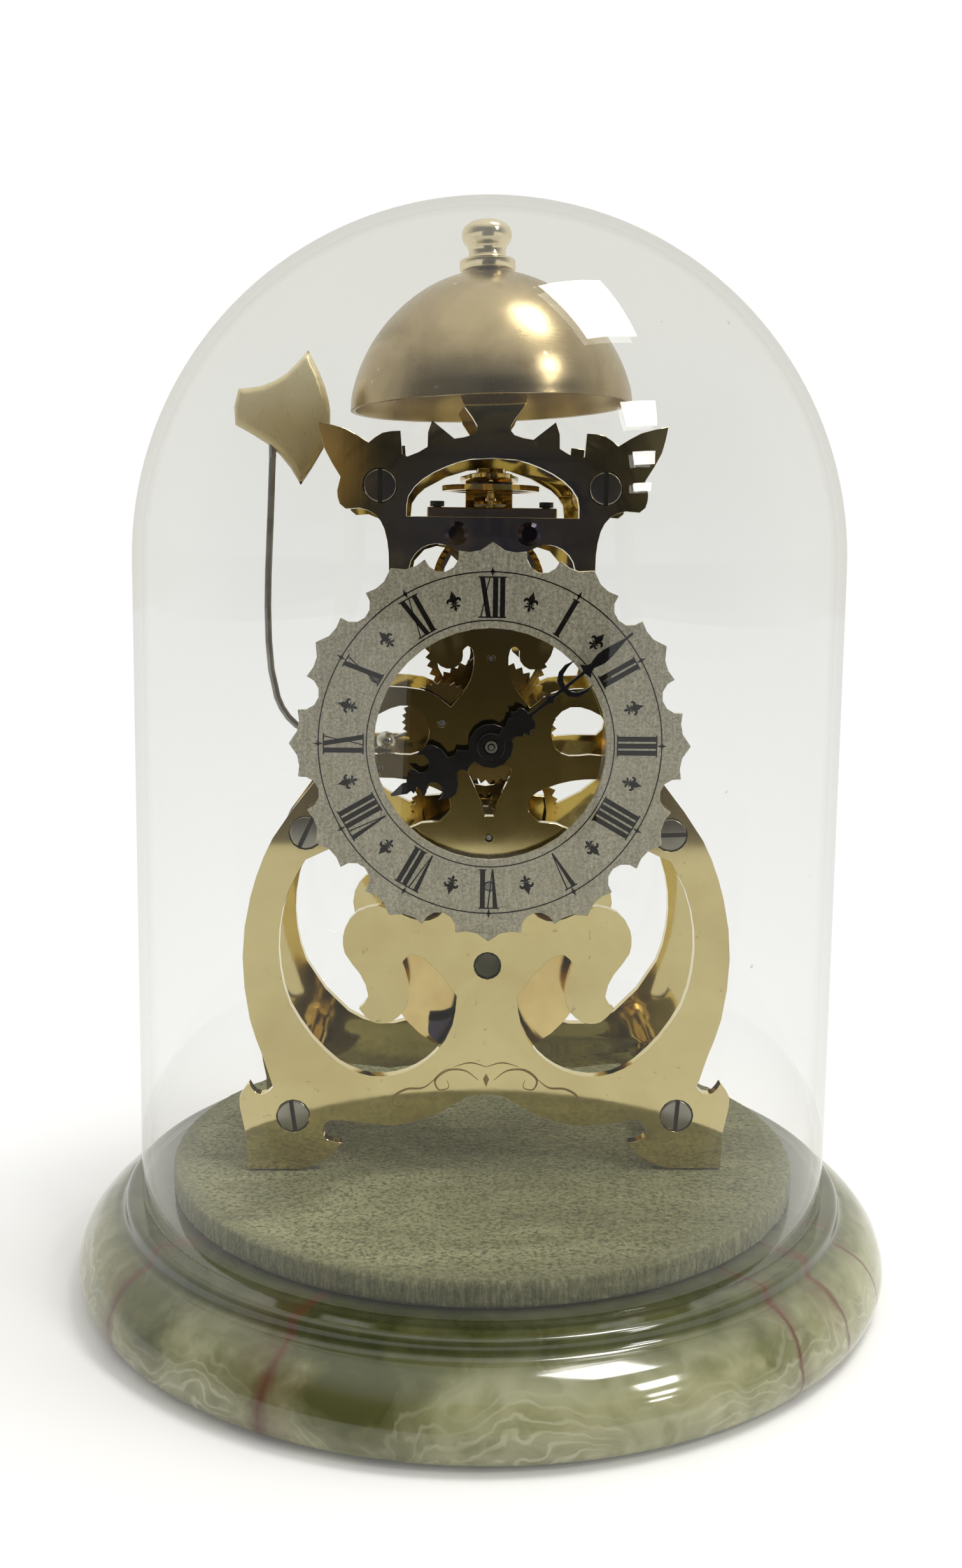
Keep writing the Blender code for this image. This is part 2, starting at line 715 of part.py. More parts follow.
cannon = moved(wheel_edge(CANNON_TEETH, FAST_MODULE, motion_line), arbor_centre)
tube = circle(1.05, 12, arbor_centre)
layered(
    "cannon_pinion",
    "steel",
    [MINUTE_HAND_Y - 0.5, -17.1, -16.6, -15.0],
    [[circle(1.7, 14, arbor_centre), tube], [circle(2.6, 14, arbor_centre), tube], [cannon, tube]],
    "Y",
    (0.0, -16.0, CENTRE_Z),
)
hour_edge = moved(wheel_edge(HOUR_TEETH, SLOW_MODULE, motion_line), arbor_centre)
hour_bore = circle(2.0, 14, arbor_centre)
layered(
    "hour_wheel",
    "brass",
    [HOUR_HAND_Y - 0.4, -18.9, -17.7],
    [[circle(2.7, 14, arbor_centre), hour_bore], [hour_edge, hour_bore]],
    "Y",
    (0.0, -18.0, CENTRE_Z),
)
back_line = motion_line + math.pi
leaves = pinion_edge(MINUTE_LEAVES, SLOW_MODULE, gap_towards(back_line, MINUTE_LEAVES))
leaves = moved(leaves, MINUTE_STUD)
minute_edge = wheel_edge(MINUTE_TEETH, FAST_MODULE, gap_towards(back_line, MINUTE_TEETH))
minute_edge = moved(minute_edge, MINUTE_STUD)
minute_bore = circle(1.3, 12, MINUTE_STUD)
layered(
    "minute_wheel",
    "brass",
    [-18.9, -16.6, -15.2],
    [[leaves, minute_bore], [minute_edge, minute_bore]],
    "Y",
    (MINUTE_STUD[0], -16.0, MINUTE_STUD[1]),
)
stud = [
    (0.0, FRONT_FACE),
    (1.0, FRONT_FACE),
    (1.0, -14.9),
    (1.9, -14.9),
    (1.9, -14.1),
    (0.0, -14.1),
]
lathe("minute_stud", "steel", stud, "Y", MINUTE_STUD, sides=12)

# ---------------------------------------------------------------- going train
UP, DOWN = 0.5 * math.pi, -0.5 * math.pi


def module_of(low_z, high_z, wheel, pinion):
    return 2 * (high_z - low_z) / (wheel + pinion)


GREAT_MODULE = module_of(BARREL_Z, SECOND_Z, GREAT_TEETH, SECOND_LEAVES)
SECOND_MODULE = module_of(SECOND_Z, CENTRE_Z, SECOND_TEETH, CENTRE_LEAVES)
CENTRE_MODULE = module_of(CENTRE_Z, THIRD_Z, CENTRE_TEETH, THIRD_LEAVES)
THIRD_MODULE = module_of(THIRD_Z, CONTRATE_Z, THIRD_TEETH, CONTRATE_LEAVES)

BARREL_RADIUS = 30.0
at_barrel = (0.0, BARREL_Z)
great_edge = moved(wheel_edge(GREAT_TEETH, GREAT_MODULE, UP), at_barrel)
barrel_wall = circle(BARREL_RADIUS, 28, at_barrel)
barrel_bore = circle(4.0, 16, at_barrel)
layered(
    "barrel",
    "brass",
    [-10.0, 9.0, 11.0, 13.4],
    [[barrel_wall, circle(28.4, 28, at_barrel)], [barrel_wall, barrel_bore], [great_edge, barrel_bore]],
    "Y",
    (0.0, 1.5, BARREL_Z),
)
plate_piece(
    "barrel_cover",
    "brass",
    [circle(BARREL_RADIUS + 0.4, 36, at_barrel), barrel_bore],
    -11.4,
    -10.0 - GAP,
    "Y",
    (0.0, -11.0, BARREL_Z),
)
coil = []
for step in range(25):
    around = math.tau * step / 10
    radius = 7.0 + 19.0 * step / 24
    u, v = polar(radius, around, at_barrel)
    coil.append((u, -0.5, v))
band = [(-0.5, -8.0), (0.5, -8.0), (0.5, 8.0), (-0.5, 8.0)]
sweep("mainspring", "blued", coil, band, (0, 1, 0), (0.0, -0.5, BARREL_Z))
arbor(
    "barrel_arbor",
    "steel",
    BARREL_Z,
    [
        (FRONT_FACE + 0.8, 3.6),
        (FRONT_BACK + 0.4, 3.0),
        (-12.0, 3.6),
        (-9.6, 5.4),
        (8.6, 3.6),
        (BACK_FACE + 0.4, 3.5),
        (BACK_END + 0.6, box(-2.3, -2.3, 2.3, 2.3)),
        (44.0, None),
    ],
)
RATCHET_RADIUS = 11.8
ratchet = []
for tooth in range(24):
    lean = math.tau * tooth / 24
    ratchet += [polar(RATCHET_RADIUS, lean, at_barrel), polar(RATCHET_RADIUS - 1.6, lean + 0.02, at_barrel)]
ratchet_bore = circle(3.3, 12, at_barrel)
ratchet_loops = [ratchet, ratchet_bore]
plate_piece("ratchet_wheel", "steel", ratchet_loops, -16.6, -14.4, "Y", (0.0, -15.5, BARREL_Z))
click_edge = outline(
    [
        [(-7.4, 66.8), (-11.8, 67.6), (-13.8, 70.6), (-16.8, 73.8), (-16.4, 77.2)],
        [(-16.4, 77.2), (-12.6, 77.4), (-8.6, 79.4), (-5.2, 83.8)],
        [(-5.2, 83.8), (-4.4, 79.4), (-5.0, 71.4), (-7.4, 66.8)],
    ]
)
click_loops = [click_edge, circle(1.3, 10, CLICK_AXIS)]
plate_piece("click", "blued", click_loops, -16.6, -14.6, "Y", (CLICK_AXIS[0], -15.6, CLICK_AXIS[1]))

second_pinion = pinion_edge(SECOND_LEAVES, GREAT_MODULE, gap_towards(DOWN, SECOND_LEAVES))
centre_pinion = pinion_edge(CENTRE_LEAVES, SECOND_MODULE, gap_towards(DOWN, CENTRE_LEAVES))
third_pinion = pinion_edge(THIRD_LEAVES, CENTRE_MODULE, gap_towards(DOWN, THIRD_LEAVES))
contrate_pinion = pinion_edge(CONTRATE_LEAVES, THIRD_MODULE, gap_towards(DOWN, CONTRATE_LEAVES))
PIVOT = 0.8
front_end, back_end = FRONT_BACK - 2.6, BACK_FACE + 2.6
in_front, in_back = FRONT_BACK + 0.5, BACK_FACE - 0.5


def between_plates(name, z, thickness, pinion, low, high):
    """An arbor with a pivot in each plate and a pinion from low to high."""
    stations = [(front_end, PIVOT), (in_front, thickness), (low, pinion), (high, thickness)]
    stations += [(in_back, PIVOT), (back_end, None)]
    return arbor(name, "steel", z, stations)


between_plates("second_arbor", SECOND_Z, 1.6, second_pinion, 10.6, 14.2)
second_edge = wheel_edge(SECOND_TEETH, SECOND_MODULE, UP)
train_wheel("second_wheel", SECOND_Z, 22.4, 24.0, second_edge, 1.9, 3.6, 19.4)
arbor(
    "centre_arbor",
    "steel",
    CENTRE_Z,
    [
        (MINUTE_HAND_Y - 1.4, 0.75),
        (-14.6, 1.6),
        (21.6, centre_pinion),
        (24.8, 1.6),
        (in_back, 1.2),
        (back_end, None),
    ],
)
centre_edge = wheel_edge(CENTRE_TEETH, CENTRE_MODULE, UP)
train_wheel("centre_wheel", CENTRE_Z, 17.8, 19.2, centre_edge, 1.9, 3.4, 18.0)
between_plates("third_arbor", THIRD_Z, 1.4, third_pinion, 17.2, 19.8)
third_edge = wheel_edge(THIRD_TEETH, THIRD_MODULE, UP)
train_wheel("third_wheel", THIRD_Z, 14.6, 15.8, third_edge, 1.7, 3.0, 15.6)

# The contrate wheel's teeth stand forward from its rim, to turn the upright escape arbor.
CROWN_RADIUS = 16.0
CROWN_TIP, CROWN_ROOT = ESCAPE_Y + 0.95, ESCAPE_Y + 2.15
CROWN_BACK = 12.9
at_contrate = (0.0, CONTRATE_Z)
crown_bore = circle(1.7, 8, at_contrate)
crown_windows = [moved(h, at_contrate) for h in crossings(4.0, 13.8, 4, 9.0, 45.0)]
contrate = layered(
    "contrate_wheel",
    "brass",
    [12.2, CROWN_BACK - 0.1, 13.6],
    [
        [circle(CROWN_RADIUS - 0.4, 24, at_contrate), crown_bore] + crown_windows,
        [circle(2.9, 12, at_contrate), crown_bore] + [None] * 4,
    ],
    "Y",
    (0.0, 12.0, CONTRATE_Z),
)
crown_points = []
crown_faces = []
edges = 2 * CONTRATE_TEETH
for step in range(edges):
    lean = UP + math.tau * step / edges
    front = CROWN_ROOT if step % 2 else CROWN_TIP
    for radius, y in ((16.6, front), (15.0, front), (15.0, CROWN_BACK), (16.6, CROWN_BACK)):
        u, v = polar(radius, lean, at_contrate)
        crown_points.append((u, y, v))
    after = (step + 1) % edges
    for i in range(4):
        k = (i + 1) % 4
        crown_faces.append((4 * step + i, 4 * step + k, 4 * after + k, 4 * after + i))
crown = made("join_crown", None, crown_points, crown_faces, (0.0, 12.0, CONTRATE_Z))
combine(contrate, crown, "UNION")
between_plates("contrate_arbor", CONTRATE_Z, 1.4, contrate_pinion, 14.0, 16.4)

# ---------------------------------------------------------------- escapement platform
PLATFORM_TOP = PLATFORM_Z + PLATFORM_THICK
cradle_front, cradle_back = FRONT_BACK + GAP, BACK_FACE - GAP
cradle_loops = [box(-15.0, cradle_front, 15.0, cradle_back)]
cradle_loops.append(box(-13.0, cradle_front + 5.0, 13.0, cradle_back - 5.0))
cradle = plate_piece("platform_cradle", "brass", cradle_loops, 214.9, PLATFORM_Z - GAP, "Z")
for side, sign in (("left", -1), ("right", 1)):
    at = (sign * cradle_x, cradle_z)
    profile = [
        (0.0, FRONT_FACE - 2.1),
        (2.2, FRONT_FACE - 2.1),
        (3.3, FRONT_FACE - 1.2),
        (3.3, FRONT_FACE - GAP),
        (1.6, FRONT_FACE - GAP),
        (1.6, cradle_front + 4.0),
        (0.0, cradle_front + 4.0),
    ]
    lathe("cradle_screw_" + side, "blued", profile, "Y", at, sides=14)
    mouth, end = cradle_front - 1.0, cradle_front + 6.0
    bore = [(0.0, mouth), (1.9, mouth), (1.9, end), (0.0, end)]
    combine(cradle, lathe("cut_cradle_" + side, None, bore, "Y", at, sides=10), "DIFFERENCE")
platform_screws = [(-15.4, -11.6), (15.4, -11.6)]
balance_at = (0.0, BALANCE_Y)
pallet_at = (0.0, PALLET_Y)
escape_at = (0.0, ESCAPE_Y)
platform_loops = [box(-18.2, -16.0, 18.2, 24.6), circle(2.6, 14, escape_at)]
platform_loops += [circle(1.5, 10, at) for at in platform_screws]
plate_piece("platform_plate", "brass", platform_loops, PLATFORM_Z, PLATFORM_TOP, "Z")
for side, at in zip(("left", "right"), platform_screws):
    profile = [
        (0.0, PLATFORM_TOP + GAP),
        (2.0, PLATFORM_TOP + GAP),
        (2.0, PLATFORM_TOP + 1.8),
        (0.0, PLATFORM_TOP + 1.8),
    ]
    shank = [(0.0, PLATFORM_Z), (1.2, PLATFORM_Z), (1.2, PLATFORM_TOP + GAP)]
    lathe("platform_screw_" + side, "black", shank + profile[1:], "Z", at, sides=12)

escape_leaves = toothed(ESCAPE_LEAVES, 0.95, 1.9, 0.42, 0.2, gap_towards(UP, ESCAPE_LEAVES))
escape_edge = []
for tooth in range(ESCAPE_TEETH):
    lean = math.tau * tooth / ESCAPE_TEETH
    for radius, share in ((3.0, 0.0), (4.3, 0.25), (4.3, 0.4), (3.0, 0.5)):
        escape_edge.append(polar(radius, lean + share * math.tau / ESCAPE_TEETH, escape_at))
staff = circle(0.6, 8, escape_at)
escape_sections = [staff, moved(escape_leaves, escape_at), circle(0.95, 12, escape_at), escape_edge, staff]
layered(
    "escape_wheel",
    "brass",
    [213.0, 214.2, 220.9, 225.9, 226.6, 228.4],
    [[loop] for loop in escape_sections],
    "Z",
    (0.0, ESCAPE_Y, 226.0),
)
lever_tail = [(0.5, -2.2), (1.0, -2.7), (1.0, -3.5), (0.55, -3.5), (0.4, -2.9), (0.0, -2.8)]
lever_head = [(0.0, 0.9), (1.6, 0.7), (3.6, 2.0), (4.6, 1.6), (4.3, 0.9), (2.0, -0.4), (0.7, -0.9)]
lever_edge = moved(both_sides(lever_head + lever_tail), pallet_at)
plate_piece("pallet_lever", "steel", [lever_edge], 226.0, 226.6, "Z", (0.0, PALLET_Y, 226.3))

balance_z = 229.9
balance_windows = [moved(h, balance_at) for h in crossings(2.6, 12.2, 2, 7.0, 0.0)]
rim = circle(BALANCE_RADIUS, 32, balance_at)
thin_staff = circle(0.7, 8, balance_at)
none = [None, None]
layered(
    "balance_wheel",
    "brass",
    [PLATFORM_TOP + GAP, 227.2, 228.0, balance_z, balance_z + 1.5, 233.2],
    [
        [thin_staff] + none,
        [circle(1.5, 12, balance_at)] + none,
        [circle(1.1, 8, balance_at)] + none,
        [rim] + balance_windows,
        [thin_staff] + none,
    ],
    "Z",
    (0.0, BALANCE_Y, balance_z),
)
spiral = []
for step in range(33):
    around = math.tau * step / 11
    spiral.append((*polar(1.9 + 4.6 * step / 32, around, balance_at), 232.2))
wire = [(-0.15, -0.3), (0.15, -0.3), (0.15, 0.3), (-0.15, 0.3)]
sweep("hairspring", "blued", spiral, wire, (0, 0, 1), (0.0, BALANCE_Y, 232.2))
cock_foot = box(-7.0, 15.0, 7.0, 20.4)
cock_edge = outline(
    [
        [(-8.6, 21.0), (8.6, 21.0)],
        [(8.6, 21.0), (8.6, 14.0), (6.8, 5.0), (6.2, -1.0), (4.4, -5.4), (0.0, -7.2)],
        [(0.0, -7.2), (-4.4, -5.4), (-6.2, -1.0), (-6.8, 5.0), (-8.6, 14.0), (-8.6, 21.0)],
    ]
)
layered(
    "balance_cock",
    "brass",
    [PLATFORM_TOP + GAP, 233.5, 235.0, 236.4],
    [[cock_foot], [cock_edge], [circle(4.2, 16, balance_at)]],
    "Z",
)

# ---------------------------------------------------------------- bell
bridge_low, bridge_high = 250.2, BELL_FOOT_Z
bridge = box(-4.6, FRONT_BACK + GAP, 4.6, BACK_FACE - GAP)
crown_bridge = plate_piece("join_bridge", None, [bridge], bridge_low, bridge_high, "Z")

bell_origin = (0.0, BELL_Y, BELL_FOOT_Z)
bell_outer = [
    (BELL_RADIUS, -1.1),
    (39.9, 4.0),
    (37.4, 11.2),
    (33.2, 18.6),
    (27.0, 25.8),
    (18.6, 32.2),
    (9.6, 36.1),
    (2.7, 37.0),
]
bell_inner = [
    (39.0, -1.1),
    (38.3, 4.0),
    (35.8, 11.0),
    (30.9, 18.8),
    (22.9, 26.6),
    (13.0, 33.0),
    (6.8, 35.3),
    (2.7, 35.4),
]
post_profile = [
    (0.0, -1.0),
    (4.2, -1.0),
    (4.2, 1.6),
    (2.4, 2.6),
    (2.4, 33.0),
    (5.8, 33.4),
    (5.8, 35.0),
    (2.2, 35.0),
    (2.2, 42.0),
    (0.0, 42.0),
]
nut_profile = [
    (2.5, 37.3),
    (7.9, 37.3),
    (8.1, 40.4),
    (5.6, 41.1),
    (5.4, 43.4),
    (6.8, 45.4),
    (7.2, 47.6),
    (6.4, 50.0),
    (4.0, 51.2),
    (0.0, 51.5),
    (0.0, 42.4),
    (2.5, 42.4),
]
lean = Matrix.Rotation(BELL_LEAN, 4, "Y")
stack = (
    ("bell", "bronze", bell_outer + bell_inner[::-1], 28),
    ("bell_post", "brass", post_profile, 10),
    ("bell_nut", "brass", nut_profile, 14),
)
for name, kind, profile, sides in stack:
    piece = lathe(name, kind, profile, sides=sides)
    piece.matrix_world = Matrix.Translation(Vector(bell_origin) * MM) @ lean
    if name == "bell_post":
        combine(piece, crown_bridge, "UNION")

# ---------------------------------------------------------------- hammer
HAMMER_Y = BELL_Y
hammer_origin = (HAMMER_AXIS[0], HAMMER_Y, HAMMER_AXIS[1])
hammer_arbor = arbor(
    "hammer_arbor",
    "steel",
    HAMMER_AXIS[1],
    [
        (front_end, PIVOT),
        (in_front, 1.5),
        (HAMMER_Y - 2.4, 3.4),
        (HAMMER_Y + 2.4, 1.5),
        (in_back, PIVOT),
        (back_end, None),
    ],
    HAMMER_AXIS[0],
)
ball_at = (-29.4, 158.6)
arm_low, arm_high = -13.6, -11.6
arm = [(-33.4, 151.6), (-29.0, 150.4), (-27.6, 158.4), (-31.0, 159.4)]
arm_piece = plate_piece("join_lift_arm", None, [arm], arm_low, arm_high)
ball_y = 0.5 * (arm_low + arm_high)
around_ball = [polar(2.7, DOWN + math.pi * i / 5) for i in range(6)]
ball_profile = [(max(u, 0.0), ball_y + v) for u, v in around_ball]
ball = lathe("join_lift_ball", None, ball_profile, "Y", ball_at, sides=10)
pin_path = [(-29.6, ball_y, 158.7), (-22.8, ball_y, 161.2)]
pin = sweep("join_lift_pin", None, pin_path, circle(0.5, 6), (0, 1, 0))
for extra in (arm_piece, ball, pin):
    combine(hammer_arbor, extra, "UNION")

rod_line = bend(
    [
        (HAMMER_AXIS[0] - 4.0, HAMMER_AXIS[1] + 1.2),
        (-46.0, 157.2),
        (-56.4, 161.4),
        (-62.0, 169.6),
        (-64.4, 186.0),
        (-64.4, 206.0),
        (-63.6, 224.0),
        (-63.0, 239.8),
    ],
    0.15,
)
rod_path = [(u, HAMMER_Y, v) for u, v in rod_line]
sweep("hammer_rod", "steel", rod_path, circle(1.0, 8), (0, 1, 0), hammer_origin)

head_edge = outline(
    [
        [(-52.6, 269.3), (-49.2, 262.6), (-46.9, 255.6), (-46.4, 249.0), (-48.4, 241.6), (-54.9, 231.2)],
        [(-54.9, 231.2), (-57.8, 236.0), (-63.6, 242.2), (-73.6, 248.0)],
        [(-73.6, 248.0), (-73.9, 253.0), (-72.6, 258.2)],
        [(-72.6, 258.2), (-65.6, 259.2), (-58.8, 262.8), (-52.6, 269.3)],
    ]
)
head_centre = Vector((-60.0, 250.5))
head_points = []
for y, share in ((-3.2, 0.8), (-1.6, 0.95), (0.0, 1.0), (1.6, 0.95), (3.2, 0.8)):
    for corner in head_edge:
        flat = head_centre + (Vector(corner) - head_centre) * share
        head_points.append((flat.x, HAMMER_Y + y, flat.y))
count = len(head_edge)
flat_loop = [Vector((u, v, 0.0)) for u, v in head_edge]
head_faces = [tuple(tri) for tri in tessellate_polygon([flat_loop])]
head_faces += [tuple(4 * count + i for i in tri) for tri in tessellate_polygon([flat_loop])]
for low in range(0, 4 * count, count):
    high = low + count
    for i in range(count):
        k = (i + 1) % count
        head_faces.append((low + i, low + k, high + k, high + i))
made("hammer_head", "bronze", head_points, head_faces, hammer_origin)
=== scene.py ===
"""Looks of a skeleton clock with passing strike, under a glass dome on an onyx base.

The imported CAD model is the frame. Lengths here are millimetres in its axes, and MM turns them into metres.
x runs to the right of someone facing the dial, y to the clock's back and z up.
"""

import json
import math

import bmesh
import bpy
from mathutils import Matrix, Vector, noise
from mathutils.geometry import delaunay_2d_cdt, intersect_point_line, tessellate_polygon

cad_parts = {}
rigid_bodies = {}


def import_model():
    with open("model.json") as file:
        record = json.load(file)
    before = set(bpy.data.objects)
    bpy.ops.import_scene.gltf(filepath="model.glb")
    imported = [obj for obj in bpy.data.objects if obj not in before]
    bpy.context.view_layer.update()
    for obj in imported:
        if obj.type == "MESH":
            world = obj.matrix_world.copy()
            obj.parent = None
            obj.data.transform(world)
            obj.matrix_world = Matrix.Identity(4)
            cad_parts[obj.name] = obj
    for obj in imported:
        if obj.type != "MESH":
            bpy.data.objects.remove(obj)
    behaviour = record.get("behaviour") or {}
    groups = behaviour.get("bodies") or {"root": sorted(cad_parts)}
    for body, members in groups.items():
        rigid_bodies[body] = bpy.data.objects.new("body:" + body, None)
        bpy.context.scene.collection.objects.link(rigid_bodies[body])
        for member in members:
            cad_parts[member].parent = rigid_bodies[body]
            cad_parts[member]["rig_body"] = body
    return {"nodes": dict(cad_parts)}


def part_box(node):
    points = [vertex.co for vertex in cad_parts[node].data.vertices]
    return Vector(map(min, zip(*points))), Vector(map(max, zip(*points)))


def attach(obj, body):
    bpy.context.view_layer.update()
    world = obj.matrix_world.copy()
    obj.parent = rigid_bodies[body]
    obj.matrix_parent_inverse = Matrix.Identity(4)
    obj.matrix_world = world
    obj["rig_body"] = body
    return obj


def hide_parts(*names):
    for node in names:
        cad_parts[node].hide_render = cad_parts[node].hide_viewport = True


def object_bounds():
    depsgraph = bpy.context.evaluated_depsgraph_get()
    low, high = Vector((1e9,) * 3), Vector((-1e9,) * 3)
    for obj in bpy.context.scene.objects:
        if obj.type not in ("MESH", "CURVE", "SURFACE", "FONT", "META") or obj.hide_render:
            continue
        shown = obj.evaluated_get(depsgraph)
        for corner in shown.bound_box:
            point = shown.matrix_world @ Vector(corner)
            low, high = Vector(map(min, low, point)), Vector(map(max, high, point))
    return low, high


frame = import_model()
cad_low, cad_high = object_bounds()
NODES = frame["nodes"]
SCENE = bpy.context.scene
SCENE.view_settings.view_transform = "Standard"
MM = 0.001


def span(node):
    """A CAD node's lowest and highest corners, in mm."""
    low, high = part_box(node)
    return low / MM, high / MM


# ---------------------------------------------------------------- camera, studio light and floor
CAMERA_AT = (-13.94, -444.63, 208.21)
PITCH, YAW, ROLL = 0.1261, 0.0357, 0.0127  # radians: down, towards the right, and tilted


def add_camera():
    """A camera in front of the dial, a little above it."""
    data = bpy.data.cameras.new("camera")
    data.lens = 34.82
    data.sensor_width = 36.0
    data.shift_x = -0.00828
    data.shift_y = -0.0154
    data.clip_start = 0.01
    ahead = Vector((math.sin(YAW) * math.cos(PITCH), math.cos(YAW) * math.cos(PITCH), -math.sin(PITCH)))
    level = Vector((math.cos(YAW), -math.sin(YAW), 0.0))
    above = level.cross(ahead)
    right = math.cos(ROLL) * level + math.sin(ROLL) * above
    top = math.cos(ROLL) * above - math.sin(ROLL) * level
    camera = bpy.data.objects.new("camera", data)
    SCENE.collection.objects.link(camera)
    place = Matrix((right, top, -ahead)).transposed().to_4x4()
    place.translation = Vector(CAMERA_AT) * MM
    camera.matrix_world = place
    SCENE.camera = camera


class Look:
    """A material, or the world's shader, built node by node."""

    def __init__(self, owner):
        owner.use_nodes = True
        self.owner = owner
        self.tree = owner.node_tree
        self.tree.nodes.clear()

    def node(self, kind, sources=None, out=0, **settings):
        """Adds a node and returns one output. sources gives its inputs as numbers or other outputs."""
        item = self.tree.nodes.new("ShaderNode" + kind)
        for key, value in settings.items():
            setattr(item, key, value)
        for key, value in (sources or {}).items():
            if isinstance(value, bpy.types.NodeSocket):
                self.tree.links.new(value, item.inputs[key])
            else:
                item.inputs[key].default_value = value
        return item.outputs[out] if item.outputs else None

    def place(self):
        return self.node("TexCoord", out="Object")

    def scaled(self, vector, scale, shift=(0.0, 0.0, 0.0), turn=(0.0, 0.0, 0.0)):
        return self.node("Mapping", {0: vector, 1: shift, 2: turn, 3: scale})

    def noise(self, vector, scale, detail=3.0, rough=0.5, warp=0.0):
        sources = {"Vector": vector, "Scale": scale, "Detail": detail, "Roughness": rough, "Distortion": warp}
        return self.node("TexNoise", sources)

    def ramp(self, value, *stops, smooth=False):
        """A colour or grey scale; each stop is (place, colour)."""
        output = self.node("ValToRGB", {0: value})
        scale = output.node.color_ramp
        scale.interpolation = "EASE" if smooth else "LINEAR"
        while len(scale.elements) < len(stops):
            scale.elements.new(1.0)
        for element, (at, colour) in zip(scale.elements, stops):
            element.position = at
            element.color = colour if len(colour) == 4 else (*colour, 1.0)
        return output

    def grey(self, value, *stops, smooth=False):
        return self.ramp(value, *[(at, (level, level, level)) for at, level in stops], smooth=smooth)

    def mix(self, share, first, second, how="MIX"):
        first = first if isinstance(first, bpy.types.NodeSocket) else (*first, 1.0)
        second = second if isinstance(second, bpy.types.NodeSocket) else (*second, 1.0)
        return self.node("Mix", {0: share, 6: first, 7: second}, out=2, data_type="RGBA", blend_type=how)

    def maths(self, how, first, second=0.0, third=0.0):
        return self.node("Math", {0: first, 1: second, 2: third}, operation=how)

    def vector(self, how, first, second=(0.0, 0.0, 0.0), third=(0.0, 0.0, 0.0)):
        return self.node("VectorMath", {0: first, 1: second, 2: third}, operation=how)

    def length(self, vector):
        return self.node("VectorMath", {0: vector}, out="Value", operation="LENGTH")

    def bump(self, height, strength, depth, normal=None):
        sources = {"Strength": strength, "Distance": depth, "Height": height}
        if normal:
            sources["Normal"] = normal
        return self.node("Bump", sources)

    def surface(self, **sources):
        """Ends the material in a Principled shader; underscores stand for spaces."""
        named = {key.replace("_", " "): value for key, value in sources.items()}
        named = {key: (*v, 1.0) if isinstance(v, tuple) and len(v) == 3 else v for key, v in named.items()}
        shader = self.node("BsdfPrincipled", named)
        self.node("OutputMaterial", {0: shader})
        return self.owner


def new_look(name):
    return Look(bpy.data.materials.new(name))


def add_world():
    """White to the camera; to everything else a soft room, brightest behind and above the clock."""
    world = bpy.data.worlds.new("studio")
    SCENE.world = world
    look = Look(world)
    where = look.node("SeparateXYZ", {0: look.node("TexCoord", out="Generated")})
    across = look.maths("MULTIPLY_ADD", where.node.outputs["Y"], 0.5, 0.5)
    depth = look.grey(across, (0.0, 0.06), (0.28, 0.14), (0.5, 0.62), (0.66, 0.95), (1.0, 1.0))
    rise = look.grey(where.node.outputs["Z"], (0.52, 0.0), (0.96, 1.0), smooth=True)
    room = look.mix(1.0, look.mix(rise, depth, (1.15, 1.15, 1.15)), (1.0, 0.985, 0.95), "MULTIPLY")
    soft = look.node("Background", {0: room, 1: 1.0})
    plain = look.node("Background", {0: (1.0, 1.0, 1.0, 1.0), 1: 1.05})
    seen = look.node("LightPath", out="Is Camera Ray")
    look.node("OutputWorld", {0: look.node("MixShader", {0: seen, 1: soft, 2: plain})})


def flat_stage(name, corners, look):
    mesh = bpy.data.meshes.new(name)
    mesh.from_pydata(corners, [], [tuple(range(len(corners)))])
    item = bpy.data.objects.new(name, mesh)
    item.data.materials.append(look)
    SCENE.collection.objects.link(item)
    return item


def only_reflected(item):
    item.visible_camera = False
    item.visible_diffuse = False
    item.visible_transmission = False
    item.visible_shadow = False


def add_floor():
    """White paper near the clock, which turns into an even glow further off."""
    look = new_look("floor")
    spread = look.noise(look.place(), 3.0, 2.0)
    white = look.ramp(spread, (0.3, (0.86, 0.86, 0.855)), (0.7, (0.88, 0.88, 0.875)))
    paper = look.node("BsdfDiffuse", {0: white})
    glow = look.node("Emission", {0: (1.0, 1.0, 1.0, 1.0), 1: 1.05})
    far = look.grey(look.length(look.place()), (0.08, 0.0), (0.27, 1.0), smooth=True)
    look.node("OutputMaterial", {0: look.node("MixShader", {0: far, 1: paper, 2: glow})})
    under = cad_low.z - 0.0002
    flat_stage("floor", [(-6, -6, under), (6, -6, under), (6, 6, under), (-6, 6, under)], look.owner)


def add_table_card():
    """The pale table top that the brass mirrors."""
    look = new_look("table_card")
    shade = look.noise(look.place(), 4.0, 2.0)
    tone = look.ramp(shade, (0.3, (0.78, 0.77, 0.73)), (0.7, (0.90, 0.89, 0.85)))
    look.node("OutputMaterial", {0: look.node("Emission", {0: tone, 1: 1.0})})
    near = cad_low.y - 0.002
    corners = [(-0.9, -0.76, 0.0), (0.9, -0.76, 0.0), (0.9, near, 0.0), (-0.9, near, 0.0)]
    only_reflected(flat_stage("table_card", corners, look.owner))


